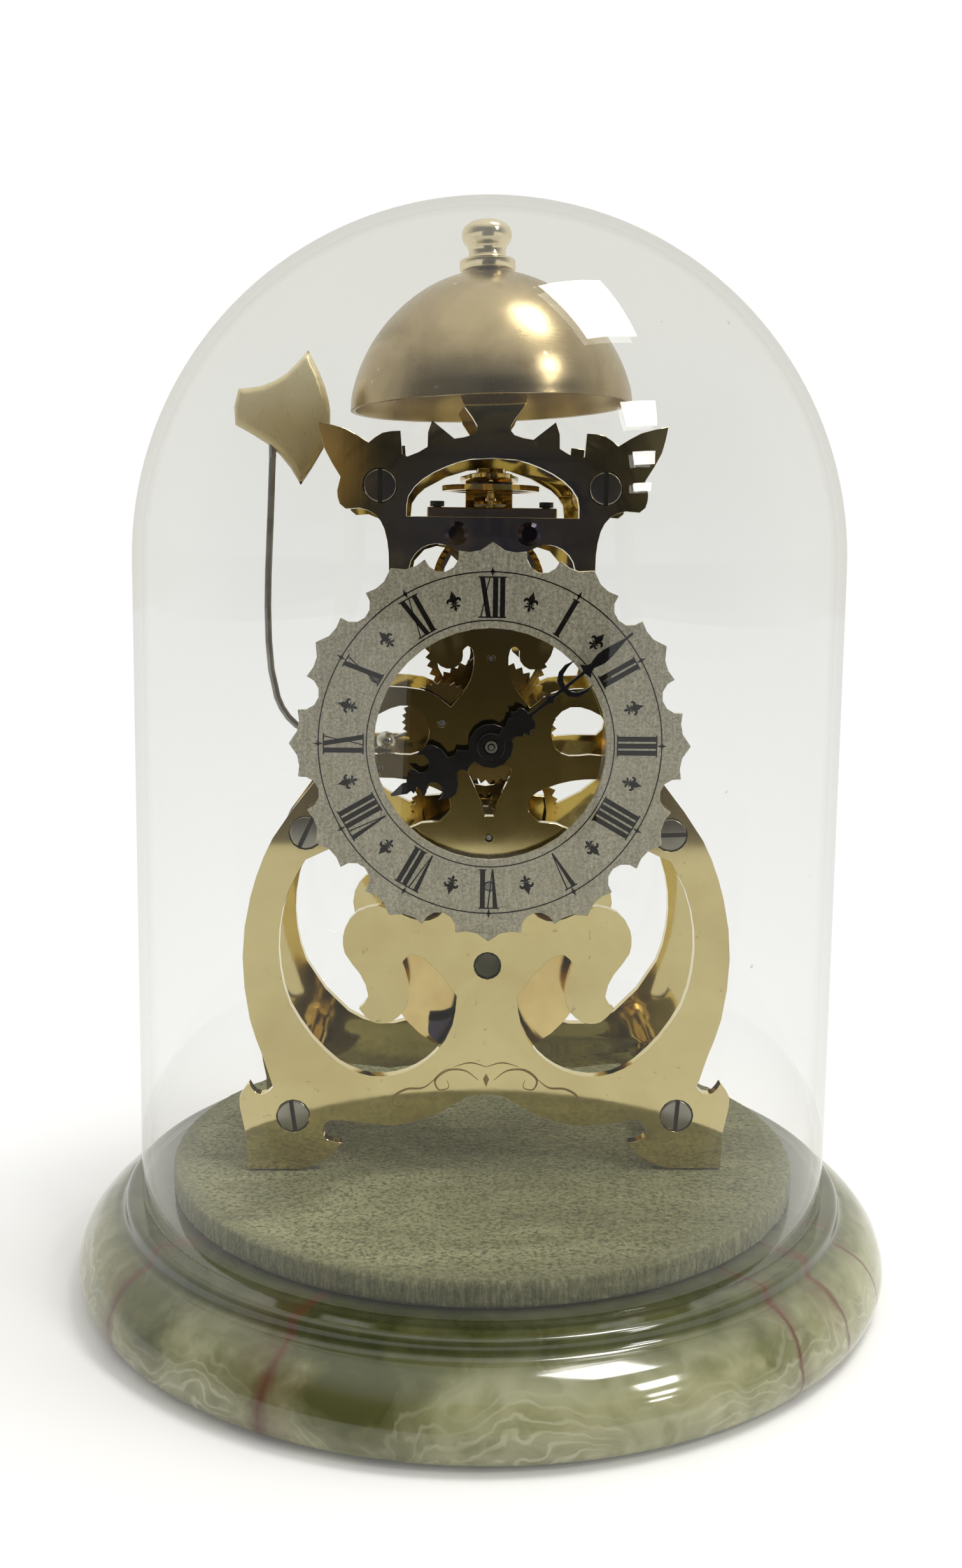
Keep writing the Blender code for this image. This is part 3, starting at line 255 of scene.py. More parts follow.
def add_dark_card():
    """The dark room behind the camera that the brass mirrors, with a blue patch and two glows in it."""
    look = new_look("dark_card")
    at = look.place()
    rise = look.node("SeparateXYZ", {0: at}, out="Z")
    tone = look.ramp(
        rise,
        (0.0, (0.12, 0.10, 0.055)),
        (0.12, (0.050, 0.040, 0.022)),
        (0.28, (0.022, 0.020, 0.016)),
        (0.5, (0.018, 0.016, 0.010)),
    )
    spot = look.length(look.scaled(at, (9.0, 0.0, 12.0), (-0.18, 0.0, -2.82)))
    navy = look.grey(spot, (0.55, 1.0), (0.85, 0.0))
    tone = look.mix(look.maths("MULTIPLY", navy, 0.85), tone, (0.032, 0.036, 0.095))
    for shift, colour in ((1.54, (0.38, 0.26, 0.125)), (-2.2, (0.12, 0.115, 0.10))):
        glow = look.length(look.scaled(at, (14.0, 0.0, 14.0), (shift, 0.0, -3.85)))
        tone = look.mix(look.grey(glow, (0.3, 0.9), (0.75, 0.0)), tone, colour)
    look.node("OutputMaterial", {0: look.node("Emission", {0: tone, 1: 1.0})})
    back = -0.62
    edge = [(-0.30, 0.02), (0.34, 0.02), (0.40, 0.22), (0.26, 0.46)]
    edge += [(0.10, 0.56), (-0.10, 0.54), (-0.12, 0.30), (-0.26, 0.2)]
    only_reflected(flat_stage("dark_card", [(x, back, z) for x, z in edge], look.owner))


# Ceiling panels in a row towards the front right: x, y, width and depth in metres, and radiance.
PANELS = (
    (0.627, -0.106, 0.46, 0.60, 19.0),
    (1.520, -1.119, 0.44, 0.44, 24.0),
    (2.187, -1.908, 0.40, 0.42, 26.0),
    (2.931, -2.845, 0.43, 0.46, 26.0),
)
CEILING = 1.8


def add_lights():
    for number, (x, y, width, depth, radiance) in enumerate(PANELS):
        data = bpy.data.lights.new("panel_%d" % number, "AREA")
        data.shape = "RECTANGLE"
        data.size = width
        data.size_y = depth
        data.energy = radiance * math.pi * width * depth
        data.color = (1.0, 0.985, 0.95)
        lamp = bpy.data.objects.new(data.name, data)
        lamp.location = (x, y, CEILING)
        lamp.rotation_euler = (0.0, 0.0, math.radians(41.0))
        SCENE.collection.objects.link(lamp)


# ---------------------------------------------------------------- materials
# Bearing of each crack in the onyx from the front, its width in metres and its strength.
CRACKS = (
    (-28.0, 0.0048, 0.85),
    (-57.0, 0.0040, 0.85),
    (41.5, 0.0016, 1.0),
    (53.0, 0.0036, 0.85),
    (66.0, 0.0016, 0.9),
    (118.0, 0.0016, 0.8),
    (196.0, 0.0030, 0.8),
    (262.0, 0.0016, 0.8),
)


def brass(name, clean, aged, gloss, grain=(1.0, 1.0, 1.0)):
    """Lacquered brass: cloudy tarnish, fine scratches along the longer grain, and smudged gloss."""
    look = new_look(name)
    at = look.place()
    cloud = look.noise(at, 38.0, 5.0, 0.6, 0.6)
    spots = look.noise(at, 420.0, 3.0, 0.6)
    colour = look.mix(look.grey(cloud, (0.42, 0.0), (0.72, 0.75)), clean, aged)
    colour = look.mix(look.grey(spots, (0.66, 0.0), (0.76, 0.45)), colour, (0.22, 0.15, 0.07))
    hair = look.noise(look.scaled(at, grain), 900.0, 2.0, 0.6)
    smudge = look.noise(at, 75.0, 4.0, 0.6)
    rough = look.maths("MULTIPLY_ADD", look.grey(smudge, (0.35, 0.0), (0.75, 1.0)), gloss * 0.8, gloss)
    normal = look.bump(hair, 0.05, 0.00006)
    return look.surface(Base_Color=colour, Metallic=1.0, Roughness=rough, Normal=normal)


def spun(name, clean, aged, gloss, centre, axis, depth=0.12, shade_depth=None):
    """Turned metal with rings about an axis through the centre; when a depth is given, everything behind it
    is painted near-black and dull, as painted shade in a screw's slot and round its head.
    """
    look = new_look(name)
    at = look.place()
    away = look.vector("ADD", at, tuple(-v * MM for v in centre))
    flat = {"Y": (1.0, 0.0, 1.0), "Z": (1.0, 1.0, 0.0)}[axis]
    radius = look.length(look.vector("MULTIPLY", away, flat))
    rings = look.node("TexNoise", {"W": radius, "Scale": 2600.0, "Detail": 3.0}, noise_dimensions="1D")
    cloud = look.noise(at, 60.0, 5.0, 0.62, 0.5)
    colour = look.mix(look.grey(cloud, (0.38, 0.0), (0.74, 1.0)), clean, aged)
    rough = look.maths("MULTIPLY_ADD", rings, gloss * 0.7, gloss * 0.65)
    normal = look.bump(rings, depth, 0.00005)
    if shade_depth is None:
        return look.surface(Base_Color=colour, Metallic=1.0, Roughness=rough, Normal=normal)
    # Painted shade: behind the given depth, in the slot and down the side of the head, the metal turns
    # near-black and dull.
    painted_shade = look.maths("GREATER_THAN", look.node("SeparateXYZ", {0: at}, out="Y"), shade_depth * MM)
    shade_colour = look.ramp(cloud, (0.3, (0.012, 0.010, 0.007)), (0.7, (0.03, 0.025, 0.016)))
    colour = look.mix(painted_shade, colour, shade_colour)
    rough = look.maths("MAXIMUM", rough, look.maths("MULTIPLY", painted_shade, 0.8))
    metal = look.maths("SUBTRACT", 1.0, painted_shade)
    return look.surface(Base_Color=colour, Metallic=metal, Roughness=rough, Normal=normal)


def bell_bronze(name):
    """Old spun bronze: faint rings, brown patches, hair scratches and pale specks."""
    look = new_look(name)
    at = look.place()
    tall = look.node("SeparateXYZ", {0: at}, out="Z")
    rings = look.node("TexNoise", {"W": tall, "Scale": 2200.0, "Detail": 3.0}, noise_dimensions="1D")
    cloud = look.noise(at, 42.0, 6.0, 0.6, 0.8)
    blotch = look.noise(at, 120.0, 4.0, 0.65)
    colour = look.mix(look.grey(cloud, (0.36, 0.0), (0.70, 1.0)), (0.54, 0.44, 0.265), (0.36, 0.28, 0.155))
    colour = look.mix(look.grey(blotch, (0.58, 0.0), (0.75, 0.55)), colour, (0.36, 0.25, 0.13))
    cells = look.node("TexVoronoi", {"Vector": at, "Scale": 130.0, "Randomness": 1.0})
    colour = look.mix(look.grey(cells, (0.05, 0.7), (0.10, 0.0)), colour, (0.78, 0.70, 0.52))
    scratch = look.noise(look.scaled(at, (1.0, 1.0, 0.03), turn=(0.0, 0.6, 0.0)), 800.0, 1.0)
    rough = look.maths("MULTIPLY_ADD", cloud, 0.14, 0.17)
    rough = look.maths("ADD", rough, look.maths("MULTIPLY", rings, 0.04))
    normal = look.bump(rings, 0.02, 0.00003)
    normal = look.bump(look.grey(scratch, (0.72, 0.0), (0.80, 1.0)), 0.02, 0.00004, normal)
    return look.surface(Base_Color=colour, Metallic=1.0, Roughness=rough, Normal=normal)


def steel(name, tone, dark, gloss):
    """Drawn or filed steel with fine upright grain and darker clouds."""
    look = new_look(name)
    at = look.place()
    cloud = look.noise(at, 150.0, 5.0, 0.6)
    grain = look.noise(look.scaled(at, (1.0, 1.0, 0.15)), 2400.0, 2.0, 0.6)
    colour = look.mix(look.grey(cloud, (0.36, 0.0), (0.7, 1.0)), tone, dark)
    rough = look.maths("MULTIPLY_ADD", grain, gloss * 0.7, gloss * 0.65)
    normal = look.bump(grain, 0.16, 0.00005)
    return look.surface(Base_Color=colour, Metallic=1.0, Roughness=rough, Normal=normal)


def silvered(name):
    """The dial's dull silvering: a fine pewter speckle with faint upright brushing."""
    look = new_look(name)
    at = look.place()
    speck = look.noise(at, 1300.0, 4.0, 0.75)
    brush = look.noise(look.scaled(at, (1.0, 1.0, 0.10)), 1100.0, 2.0, 0.6)
    cloud = look.noise(at, 55.0, 4.0, 0.6)
    greys = (0.36, (0.28, 0.26, 0.19)), (0.50, (0.50, 0.47, 0.365)), (0.66, (0.68, 0.645, 0.52))
    colour = look.ramp(speck, *greys)
    colour = look.mix(look.grey(brush, (0.40, 0.0), (0.66, 0.55)), colour, (0.34, 0.32, 0.24))
    colour = look.mix(look.grey(cloud, (0.45, 0.0), (0.75, 0.35)), colour, (0.56, 0.51, 0.38))
    rough = look.maths("MULTIPLY_ADD", speck, 0.25, 0.36)
    normal = look.bump(speck, 0.35, 0.00005)
    return look.surface(Base_Color=colour, Metallic=0.55, Roughness=rough, Normal=normal)


def lacquer(name, colour, wear_and_reflection, gloss, shine=0.5):
    """Black paint or printing ink, a little worn and dusty."""
    look = new_look(name)
    at = look.place()
    dust = look.noise(at, 900.0, 4.0, 0.7)
    cloud = look.noise(at, 160.0, 3.0, 0.6)
    tone = look.mix(look.grey(dust, (0.56, 0.0), (0.78, 1.0)), colour, wear_and_reflection)
    rough = look.maths("MULTIPLY_ADD", cloud, gloss, gloss * 0.5)
    normal = look.bump(dust, 0.12, 0.00004)
    return look.surface(Base_Color=tone, Roughness=rough, Specular_IOR_Level=shine, Normal=normal)


def velvet(name):
    """Sage velvet in pale and dark sweeps, painted lighter towards the left as painted light, with a fringe
    down its side.
    """
    look = new_look(name)
    at = look.place()
    sweep = look.noise(look.scaled(at, (0.8, 2.2, 1.0), turn=(0.0, 0.0, 0.35)), 16.0, 4.0, 0.6, 1.2)
    streak = look.noise(look.scaled(at, (0.42, 1.0, 1.0), turn=(0.0, 0.0, 0.20)), 700.0, 5.0, 0.8)
    fringe = look.noise(look.scaled(at, (1.0, 1.0, 0.22)), 780.0, 4.0, 0.75)
    tuft = look.noise(at, 850.0, 4.0, 0.75)
    where = look.node("SeparateXYZ", {0: at})
    # Painted light: the velvet is made lighter towards the left, where the light falls.
    side = look.grey(look.maths("MULTIPLY_ADD", where, 5.4, 0.5), (0.0, 1.0), (0.42, 0.35), (1.0, 0.0))
    side = look.maths("MULTIPLY", side, 0.50)
    sweep_and_painted_light = look.maths("MULTIPLY_ADD", look.grey(sweep, (0.3, 0.0), (0.7, 1.0)), 0.60, side)
    greens = (0.0, (0.100, 0.102, 0.042)), (0.5, (0.215, 0.215, 0.105)), (1.0, (0.47, 0.47, 0.28))
    colour = look.ramp(sweep_and_painted_light, *greens)
    colour = look.mix(look.grey(streak, (0.46, 0.0), (0.66, 0.55)), colour, (0.42, 0.42, 0.245))
    colour = look.mix(look.grey(tuft, (0.38, 0.9), (0.54, 0.0)), colour, (0.050, 0.053, 0.022))
    reach = look.length(look.vector("MULTIPLY", at, (1.0, 1.0, 0.0)))
    reach = look.maths("ADD", reach, look.maths("MULTIPLY", look.maths("SUBTRACT", tuft, 0.5), 0.006))
    greens = (0.34, (0.085, 0.090, 0.042)), (0.5, (0.185, 0.185, 0.096)), (0.66, (0.32, 0.32, 0.19))
    hair = look.ramp(fringe, *greens)
    colour = look.mix(look.grey(reach, (0.0885, 0.0), (0.0905, 1.0)), colour, hair)
    normal = look.bump(tuft, 0.9, 0.0007)
    normal = look.bump(streak, 0.45, 0.0005, normal)
    return look.surface(
        Base_Color=colour,
        Roughness=0.95,
        Specular_IOR_Level=0.15,
        Sheen_Weight=0.30,
        Sheen_Roughness=0.4,
        Sheen_Tint=(0.80, 0.80, 0.58),
        Normal=normal,
    )


def onyx(name):
    """Green onyx: dark clouds, cream growth with fine contour bands and rounded cells, rusty cracks, and
    painted shade darkening the upper slope.
    """
    look = new_look(name)
    at = look.place()
    warp = look.node("TexNoise", {"Vector": at, "Scale": 26.0, "Detail": 4.0}, out="Color")
    warp = look.vector("SUBTRACT", warp, (0.5, 0.5, 0.5))
    bent = look.vector("MULTIPLY_ADD", warp, (0.034, 0.034, 0.020), at)
    tall = look.node("SeparateXYZ", {0: at}, out="Z")
    cloud = look.noise(bent, 21.0, 5.0, 0.6)
    fine = look.noise(bent, 130.0, 5.0, 0.62)
    greens = (0.38, (0.070, 0.074, 0.020)), (0.50, (0.165, 0.172, 0.066)), (0.62, (0.29, 0.29, 0.145))
    green = look.ramp(cloud, *greens)
    low = look.grey(tall, (0.002, 0.30), (0.010, 0.19), (0.0185, 0.02), (0.022, 0.0))
    low = look.maths("SUBTRACT", low, 0.03)
    growth = look.maths("ADD", look.noise(bent, 19.0, 3.5, 0.55), low)
    creams = (0.3, (0.19, 0.19, 0.092)), (0.5, (0.27, 0.27, 0.145)), (0.7, (0.36, 0.355, 0.215))
    cream = look.ramp(fine, *creams)
    pale = look.grey(growth, (0.50, 0.0), (0.66, 0.85))
    colour = look.mix(pale, green, cream)
    waves = look.maths("MULTIPLY_ADD", growth, 120.0, look.maths("MULTIPLY", fine, 7.0))
    waves = look.maths("MULTIPLY_ADD", look.maths("SINE", waves), 0.5, 0.5)
    waves = look.maths("MULTIPLY", look.grey(waves, (0.66, 0.0), (1.0, 0.7)), pale)
    broken = look.grey(look.noise(at, 34.0, 3.0), (0.42, 0.10), (0.58, 1.0))
    colour = look.mix(look.maths("MULTIPLY", waves, broken), colour, (0.50, 0.49, 0.34))
    cells = look.node("TexVoronoi", {"Vector": bent, "Scale": 95.0}, feature="SMOOTH_F1")
    cells = look.grey(cells, (0.20, 0.0), (0.42, 0.6), (0.62, 0.0))
    grape = look.maths("MULTIPLY", cells, look.grey(cloud, (0.44, 0.0), (0.54, 1.0)))
    colour = look.mix(grape, colour, (0.38, 0.375, 0.225))
    # Painted shade: the upper slope and the step at the top turn dark green.
    shade = look.grey(tall, (0.0175, 0.0), (0.0235, 0.85))
    dark = look.ramp(fine, (0.3, (0.022, 0.028, 0.007)), (0.7, (0.060, 0.068, 0.020)))
    colour = look.mix(shade, colour, dark)
    straight = look.node("SeparateXYZ", {0: at}).node.outputs
    wavy = look.vector("MULTIPLY_ADD", warp, (0.012, 0.012, 0.0), at)
    wavy = look.node("SeparateXYZ", {0: wavy}).node.outputs
    ragged = look.noise(at, 90.0, 4.0, 0.6)
    # Each crack is one side of an upright plane through the dome's axis, with a rusty stain about it.
    for bearing, wide, strength in CRACKS:
        c, s = math.cos(math.radians(bearing)), math.sin(math.radians(bearing))
        across = look.maths("MULTIPLY_ADD", wavy["X"], c, look.maths("MULTIPLY", wavy["Y"], s))
        along = look.maths("MULTIPLY_ADD", straight["X"], s, look.maths("MULTIPLY", straight["Y"], -c))
        ahead = look.maths("GREATER_THAN", along, 0.06)
        across = look.maths("ABSOLUTE", across)
        stain = look.grey(look.maths("DIVIDE", across, wide * 3.5), (0.0, 0.75 * strength), (1.0, 0.0))
        patchy = look.grey(look.noise(bent, 40.0, 3.0), (0.44, 0.0), (0.60, 1.0))
        stain = look.maths("MULTIPLY", look.maths("MULTIPLY", stain, patchy), ahead)
        colour = look.mix(stain, colour, (0.100, 0.052, 0.022))
        width = look.maths("MULTIPLY", look.grey(ragged, (0.35, 0.20), (0.65, 1.0)), wide)
        crack = look.grey(look.maths("DIVIDE", across, width), (0.0, strength), (1.0, 0.0))
        colour = look.mix(look.maths("MULTIPLY", crack, ahead), colour, (0.105, 0.036, 0.018))
    rough = look.maths("MULTIPLY_ADD", fine, 0.10, 0.05)
    return look.surface(
        Base_Color=colour,
        Roughness=rough,
        IOR=1.55,
        Coat_Weight=0.25,
        Coat_Roughness=0.05,
        Normal=look.bump(fine, 0.02, 0.0002),
    )


GLASS_IOR = 1.5


def dome_glass(name):
    """Blown glass: light goes straight through, it mirrors by Fresnel and has a few specks of dust; it is
    painted darker towards the top and where it is seen edge-on, as painted shade.
    """
    look = new_look(name)
    at = look.place()
    specks = look.node("TexVoronoi", {"Vector": at, "Scale": 42.0})
    dust = look.grey(specks, (0.018, 0.55), (0.026, 0.0))
    haze = look.noise(at, 9.0, 3.0)
    tall = look.node("SeparateXYZ", {0: at}, out="Z")
    # The outer skin alone is tinted: the tube's distance from the axis, and the top's from its centre.
    over = look.maths("MAXIMUM", look.maths("SUBTRACT", tall, spring * MM), 0.0)
    away = look.length(look.vector("MULTIPLY", at, (1.0, 1.0, 0.0)))
    reach = look.maths("ADD", look.maths("MULTIPLY", over, over), look.maths("MULTIPLY", away, away))
    outer = look.maths("GREATER_THAN", look.maths("SQRT", reach), (dome_radius - 0.5 * WALL) * MM)
    # Painted shade: the outer skin lets less light through towards the top.
    shaded_tints = (0.05, (0.965, 0.965, 0.955)), (0.19, (0.88, 0.882, 0.868)), (0.31, (0.82, 0.818, 0.785))
    tint_and_shade = look.ramp(tall, *shaded_tints)
    tint_and_shade = look.mix(look.grey(haze, (0.3, 0.0), (0.7, 0.25)), tint_and_shade, (0.87, 0.87, 0.85))
    # Painted shade: the glass is darkened where it is seen edge-on, the more so towards the top.
    edge = look.grey(look.node("LayerWeight", {0: 0.5}, out="Facing"), (0.70, 0.0), (0.88, 0.35), (1.0, 1.0))
    edge = look.maths("MULTIPLY", edge, look.grey(tall, (0.10, 0.55), (0.31, 1.0)))
    tint_and_shade = look.mix(look.maths("MULTIPLY", edge, 0.9), tint_and_shade, (0.42, 0.42, 0.385))
    tint_and_shade = look.mix(dust, tint_and_shade, (0.45, 0.44, 0.40))
    tint_and_shade = look.mix(outer, (0.995, 0.995, 0.995), tint_and_shade)
    ripple = look.bump(look.noise(at, 12.0, 2.0), 0.03, 0.001)
    clear = look.node("BsdfTransparent", {0: tint_and_shade})
    mirror = look.node("BsdfGlossy", {0: (0.92, 0.92, 0.90, 1.0), 1: 0.015, "Normal": ripple})
    # Rays go straight on, so a wall seen from inside has to mirror just as it does from outside.
    inside = look.node("NewGeometry", out="Backfacing")
    bend = look.maths("MULTIPLY_ADD", inside, 1.0 / GLASS_IOR - GLASS_IOR, GLASS_IOR)
    share = look.node("Fresnel", {0: bend, 1: ripple})
    share = look.maths("MULTIPLY", share, look.maths("MULTIPLY_ADD", outer, 0.65, 0.25))
    look.node("OutputMaterial", {0: look.node("MixShader", {0: share, 1: clear, 2: mirror})})
    return look.owner


# ---------------------------------------------------------------- mesh tools
def new_piece(name, points, faces, look, sharp=30.0):
    """A piece from points in mm."""
    mesh = bpy.data.meshes.new(name)
    mesh.from_pydata([Vector(p) * MM for p in points], [], faces)
    work = bmesh.new()
    work.from_mesh(mesh)
    bmesh.ops.recalc_face_normals(work, faces=work.faces)
    work.to_mesh(mesh)
    work.free()
    return finished(name, mesh, look, sharp)


def finished(name, mesh, look, sharp):
    mesh.shade_smooth()
    mesh.set_sharp_from_angle(angle=math.radians(sharp))
    mesh.materials.clear()
    mesh.materials.append(look)
    item = bpy.data.objects.new(name, mesh)
    SCENE.collection.objects.link(item)
    return item


def stand_in(piece, slot, *nodes):
    """The piece takes the place of these CAD nodes, on their body."""
    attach(piece, NODES[nodes[0]]["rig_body"])
    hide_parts(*nodes)
    return piece


def added(piece, body):
    """The piece is extra, and rides on this body."""
    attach(piece, body)
    return piece


def flow(points, steps=6):
    """A smooth curve through the points."""
    p = [Vector(q) for q in points]
    p = [2 * p[0] - p[1]] + p + [2 * p[-1] - p[-2]]
    line = [tuple(p[1])]
    for a, b, c, d in zip(p, p[1:], p[2:], p[3:]):
        for i in range(1, steps + 1):
            t = i / steps
            at = 2 * b + (c - a) * t + (2 * a - 5 * b + 4 * c - d) * t * t + (3 * b - 3 * c + d - a) * t**3
            line.append(tuple(0.5 * at))
    return line


def eased(points, radius=0.35, steps=3):
    """A closed profile with its corners rounded, apart from those on the axis."""
    line = []
    count = len(points)
    for i, p in enumerate(points):
        here, before, after = Vector(p), Vector(points[i - 1]), Vector(points[(i + 1) % count])
        if here.x < 1e-6:
            line.append(tuple(here))
            continue
        reach = min(radius, 0.45 * (before - here).length, 0.45 * (after - here).length)
        start = here + (before - here).normalized() * reach
        end = here + (after - here).normalized() * reach
        for k in range(steps + 1):
            t = k / steps
            line.append(tuple(start * (1 - t) ** 2 + here * 2 * t * (1 - t) + end * t * t))
    return line


def lathe(name, look, profile, axis="Z", at=(0.0, 0.0, 0.0), sides=96, sharp=30.0):
    """Turns a closed profile of (radius, height) about an axis through a point."""
    points, rings, faces = [], [], []
    for radius, h in profile:
        count = sides if radius > 1e-6 else 1
        rings.append(range(len(points), len(points) + count))
        for i in range(count):
            a = math.tau * i / sides
            u, v = (radius * math.cos(a), radius * math.sin(a)) if count > 1 else (0.0, 0.0)
            points.append(Vector(at) + Vector((u, h, v) if axis == "Y" else (u, v, h)))
    for a, b in zip(rings, rings[1:] + rings[:1]):
        if len(a) == len(b) == 1:
            continue
        for j in range(sides):
            k = (j + 1) % sides
            corner = [a[j % len(a)], a[k % len(a)], b[k % len(b)], b[j % len(b)]]
            faces.append(tuple(dict.fromkeys(corner)))
    return new_piece(name, points, faces, look, sharp)


def softened(node, look, slot, width):
    """A copy of a flat CAD node with its sharp edges chamfered, which stands for it."""
    work = bmesh.new()
    work.from_mesh(NODES[node].data)
    bmesh.ops.remove_doubles(work, verts=work.verts, dist=2e-6)
    bmesh.ops.dissolve_limit(work, angle_limit=math.radians(0.6), verts=work.verts, edges=work.edges)
    edges = [e for e in work.edges if e.is_manifold and e.calc_face_angle() > math.radians(50.0)]
    size = {"offset": width * MM, "offset_type": "OFFSET", "segments": 1, "profile": 0.5}
    bmesh.ops.bevel(work, geom=edges, affect="EDGES", clamp_overlap=True, **size)
    bmesh.ops.recalc_face_normals(work, faces=work.faces)
    mesh = bpy.data.meshes.new(node + "_looks")
    work.to_mesh(mesh)
    work.free()
    return stand_in(finished(node + "_looks", mesh, look, 30.0), slot, node)


def flat_art(name, shapes, face, rise, look):
    """Thin flat shapes on a face that looks towards -y; each is one loop of (x, z)."""
    points, faces = [], []
    for loop in shapes:
        start, count = len(points), len(loop)
        points += [(u, face - rise, v) for u, v in loop] + [(u, face, v) for u, v in loop]
        flat = [[Vector((u, v, 0.0)) for u, v in loop]]
        for tri in tessellate_polygon(flat):
            faces.append(tuple(start + i for i in tri))
            faces.append(tuple(start + count + i for i in reversed(tri)))
        for i in range(count):
            k = (i + 1) % count
            faces.append((start + i, start + k, start + count + k, start + count + i))
    return new_piece(name, points, faces, look)


def ribbon(line, widths):
    """A flat stroke along a line, its width running through the values given."""
    left, right = [], []
    for i, p in enumerate(line):
        ahead = (Vector(line[min(i + 1, len(line) - 1)]) - Vector(line[max(i - 1, 0)])).normalized()
        t = i / (len(line) - 1) * (len(widths) - 1)
        k = min(int(t), len(widths) - 2)
        half = 0.5 * (widths[k] * (k + 1 - t) + widths[k + 1] * (t - k))
        side = Vector((-ahead.y, ahead.x)) * half
        left.append(tuple(Vector(p) + side))
        right.append(tuple(Vector(p) - side))
    return left + right[::-1]


def dialled(points, clockwise, radius, centre):
    """Points about a place on the dial, given as (along the ring, outwards)."""
    a = math.radians(clockwise)
    c, s = math.cos(a), math.sin(a)
    return [(centre[0] + u * c + (v + radius) * s, centre[1] - u * s + (v + radius) * c) for u, v in points]


def cut(piece, cutter):
    """Takes the cutter's shape out of the piece for good."""
    step = piece.modifiers.new("cut", "BOOLEAN")
    step.operation = "DIFFERENCE"
    step.solver = "EXACT"
    step.object = cutter
    bpy.context.view_layer.update()
    shaped = bpy.data.meshes.new_from_object(piece.evaluated_get(bpy.context.evaluated_depsgraph_get()))
    piece.modifiers.clear()
    piece.data = shaped
    shaped.set_sharp_from_angle(angle=math.radians(30.0))
    bpy.data.objects.remove(cutter, do_unlink=True)


def block(name, low, high, turn, centre, look):
    """A box turned about a line along y through the centre, for cutting a screw's slot."""
    corners = [(x, y, z) for x in (low[0], high[0]) for y in (low[1], high[1]) for z in (low[2], high[2])]
    spin = Matrix.Rotation(math.radians(turn), 3, "Y")
    points = [spin @ Vector(p) + Vector(centre) for p in corners]
    faces = [(0, 1, 3, 2), (4, 6, 7, 5), (0, 4, 5, 1), (2, 3, 7, 6), (0, 2, 6, 4), (1, 5, 7, 3)]
    return new_piece(name, points, faces, look)


# ---------------------------------------------------------------- set-up and shared looks
add_camera()
add_world()
add_floor()
add_table_card()
add_dark_card()
add_lights()

GOLD, OLD_GOLD = (0.69, 0.59, 0.295), (0.58, 0.47, 0.21)
plate_look = brass("plate_brass", GOLD, OLD_GOLD, 0.045, (1.0, 1.0, 0.04))
part_look = brass("part_brass", (0.74, 0.585, 0.27), (0.62, 0.45, 0.19), 0.10, (1.0, 0.05, 1.0))
steel_look = steel("satin_steel", (0.42, 0.41, 0.375), (0.27, 0.255, 0.22), 0.30)
dark_steel_look = steel("grey_steel", (0.33, 0.32, 0.29), (0.20, 0.185, 0.15), 0.34)
# Painted shade: near-black steel for the barrel arbor, whose end lies deep in the winding hole.
shaded_steel_look = steel("shaded_steel", (0.12, 0.115, 0.075), (0.055, 0.055, 0.03), 0.40)
blued_look = steel("blued_steel", (0.045, 0.045, 0.07), (0.06, 0.035, 0.03), 0.22)
silver_look = silvered("silvered_dial")
hand_look = lacquer("hand_black", (0.004, 0.0045, 0.007), (0.014, 0.014, 0.017), 0.22, 0.45)
ink_look = lacquer("dial_ink", (0.006, 0.005, 0.004), (0.030, 0.025, 0.020), 0.6, 0.12)
screw_black_look = lacquer("screw_black", (0.010, 0.010, 0.011), (0.04, 0.04, 0.04), 0.3)
bronze_look = bell_bronze("bell_bronze")

# ---------------------------------------------------------------- dome, base and pad
dome_low, dome_high = span("glass_dome")
dome_radius = dome_high.x
WALL = 2.6
spring = dome_high.z - dome_radius
rim = dome_low.z
glass_look = dome_glass("dome_glass")


def dome_skin(radius, steps=40):
    """A quarter round from the straight side up to the axis."""
    turns = [0.5 * math.pi * i / steps for i in range(steps)]
    return [(radius * math.cos(a), spring + radius * math.sin(a)) for a in turns] + [(0.0, spring + radius)]


middle = dome_radius - 0.5 * WALL
lip = [math.pi * (1.0 + i / 10.0) for i in range(11)]
lip = [(middle + 0.5 * WALL * math.cos(a), rim + 0.5 * WALL * (1.0 + math.sin(a))) for a in lip]
dome_profile = lip + dome_skin(dome_radius) + dome_skin(dome_radius - WALL)[::-1]
dome = lathe("dome_glass", glass_look, dome_profile, sides=160, sharp=80.0)
stand_in(dome, "glass", "glass_dome")

base_high = span("onyx_base")[1]
base_radius, base_top = base_high.x, base_high.z
swell = [
    (114.4, 0.0),
    (117.9, 2.6),
    (base_radius, 7.2),
    (118.6, 11.6),
    (116.7, 15.4),
    (113.4, 19.0),
    (109.6, 21.3),
    (107.6, 21.9),
]
step = [(106.7, 22.4), (106.2, 23.4), (106.0, 24.8), (105.7, 25.9), (105.0, 26.45), (103.9, base_top)]
base_profile = [(0.0, 0.0), (112.5, 0.0)] + [(min(r, base_radius), h) for r, h in flow(swell)]
base_profile += step + [(60.0, base_top), (0.0, base_top)]
base = lathe("onyx_base_looks", onyx("green_onyx"), base_profile, sides=192, sharp=40.0)
stand_in(base, "onyx", "onyx_base")


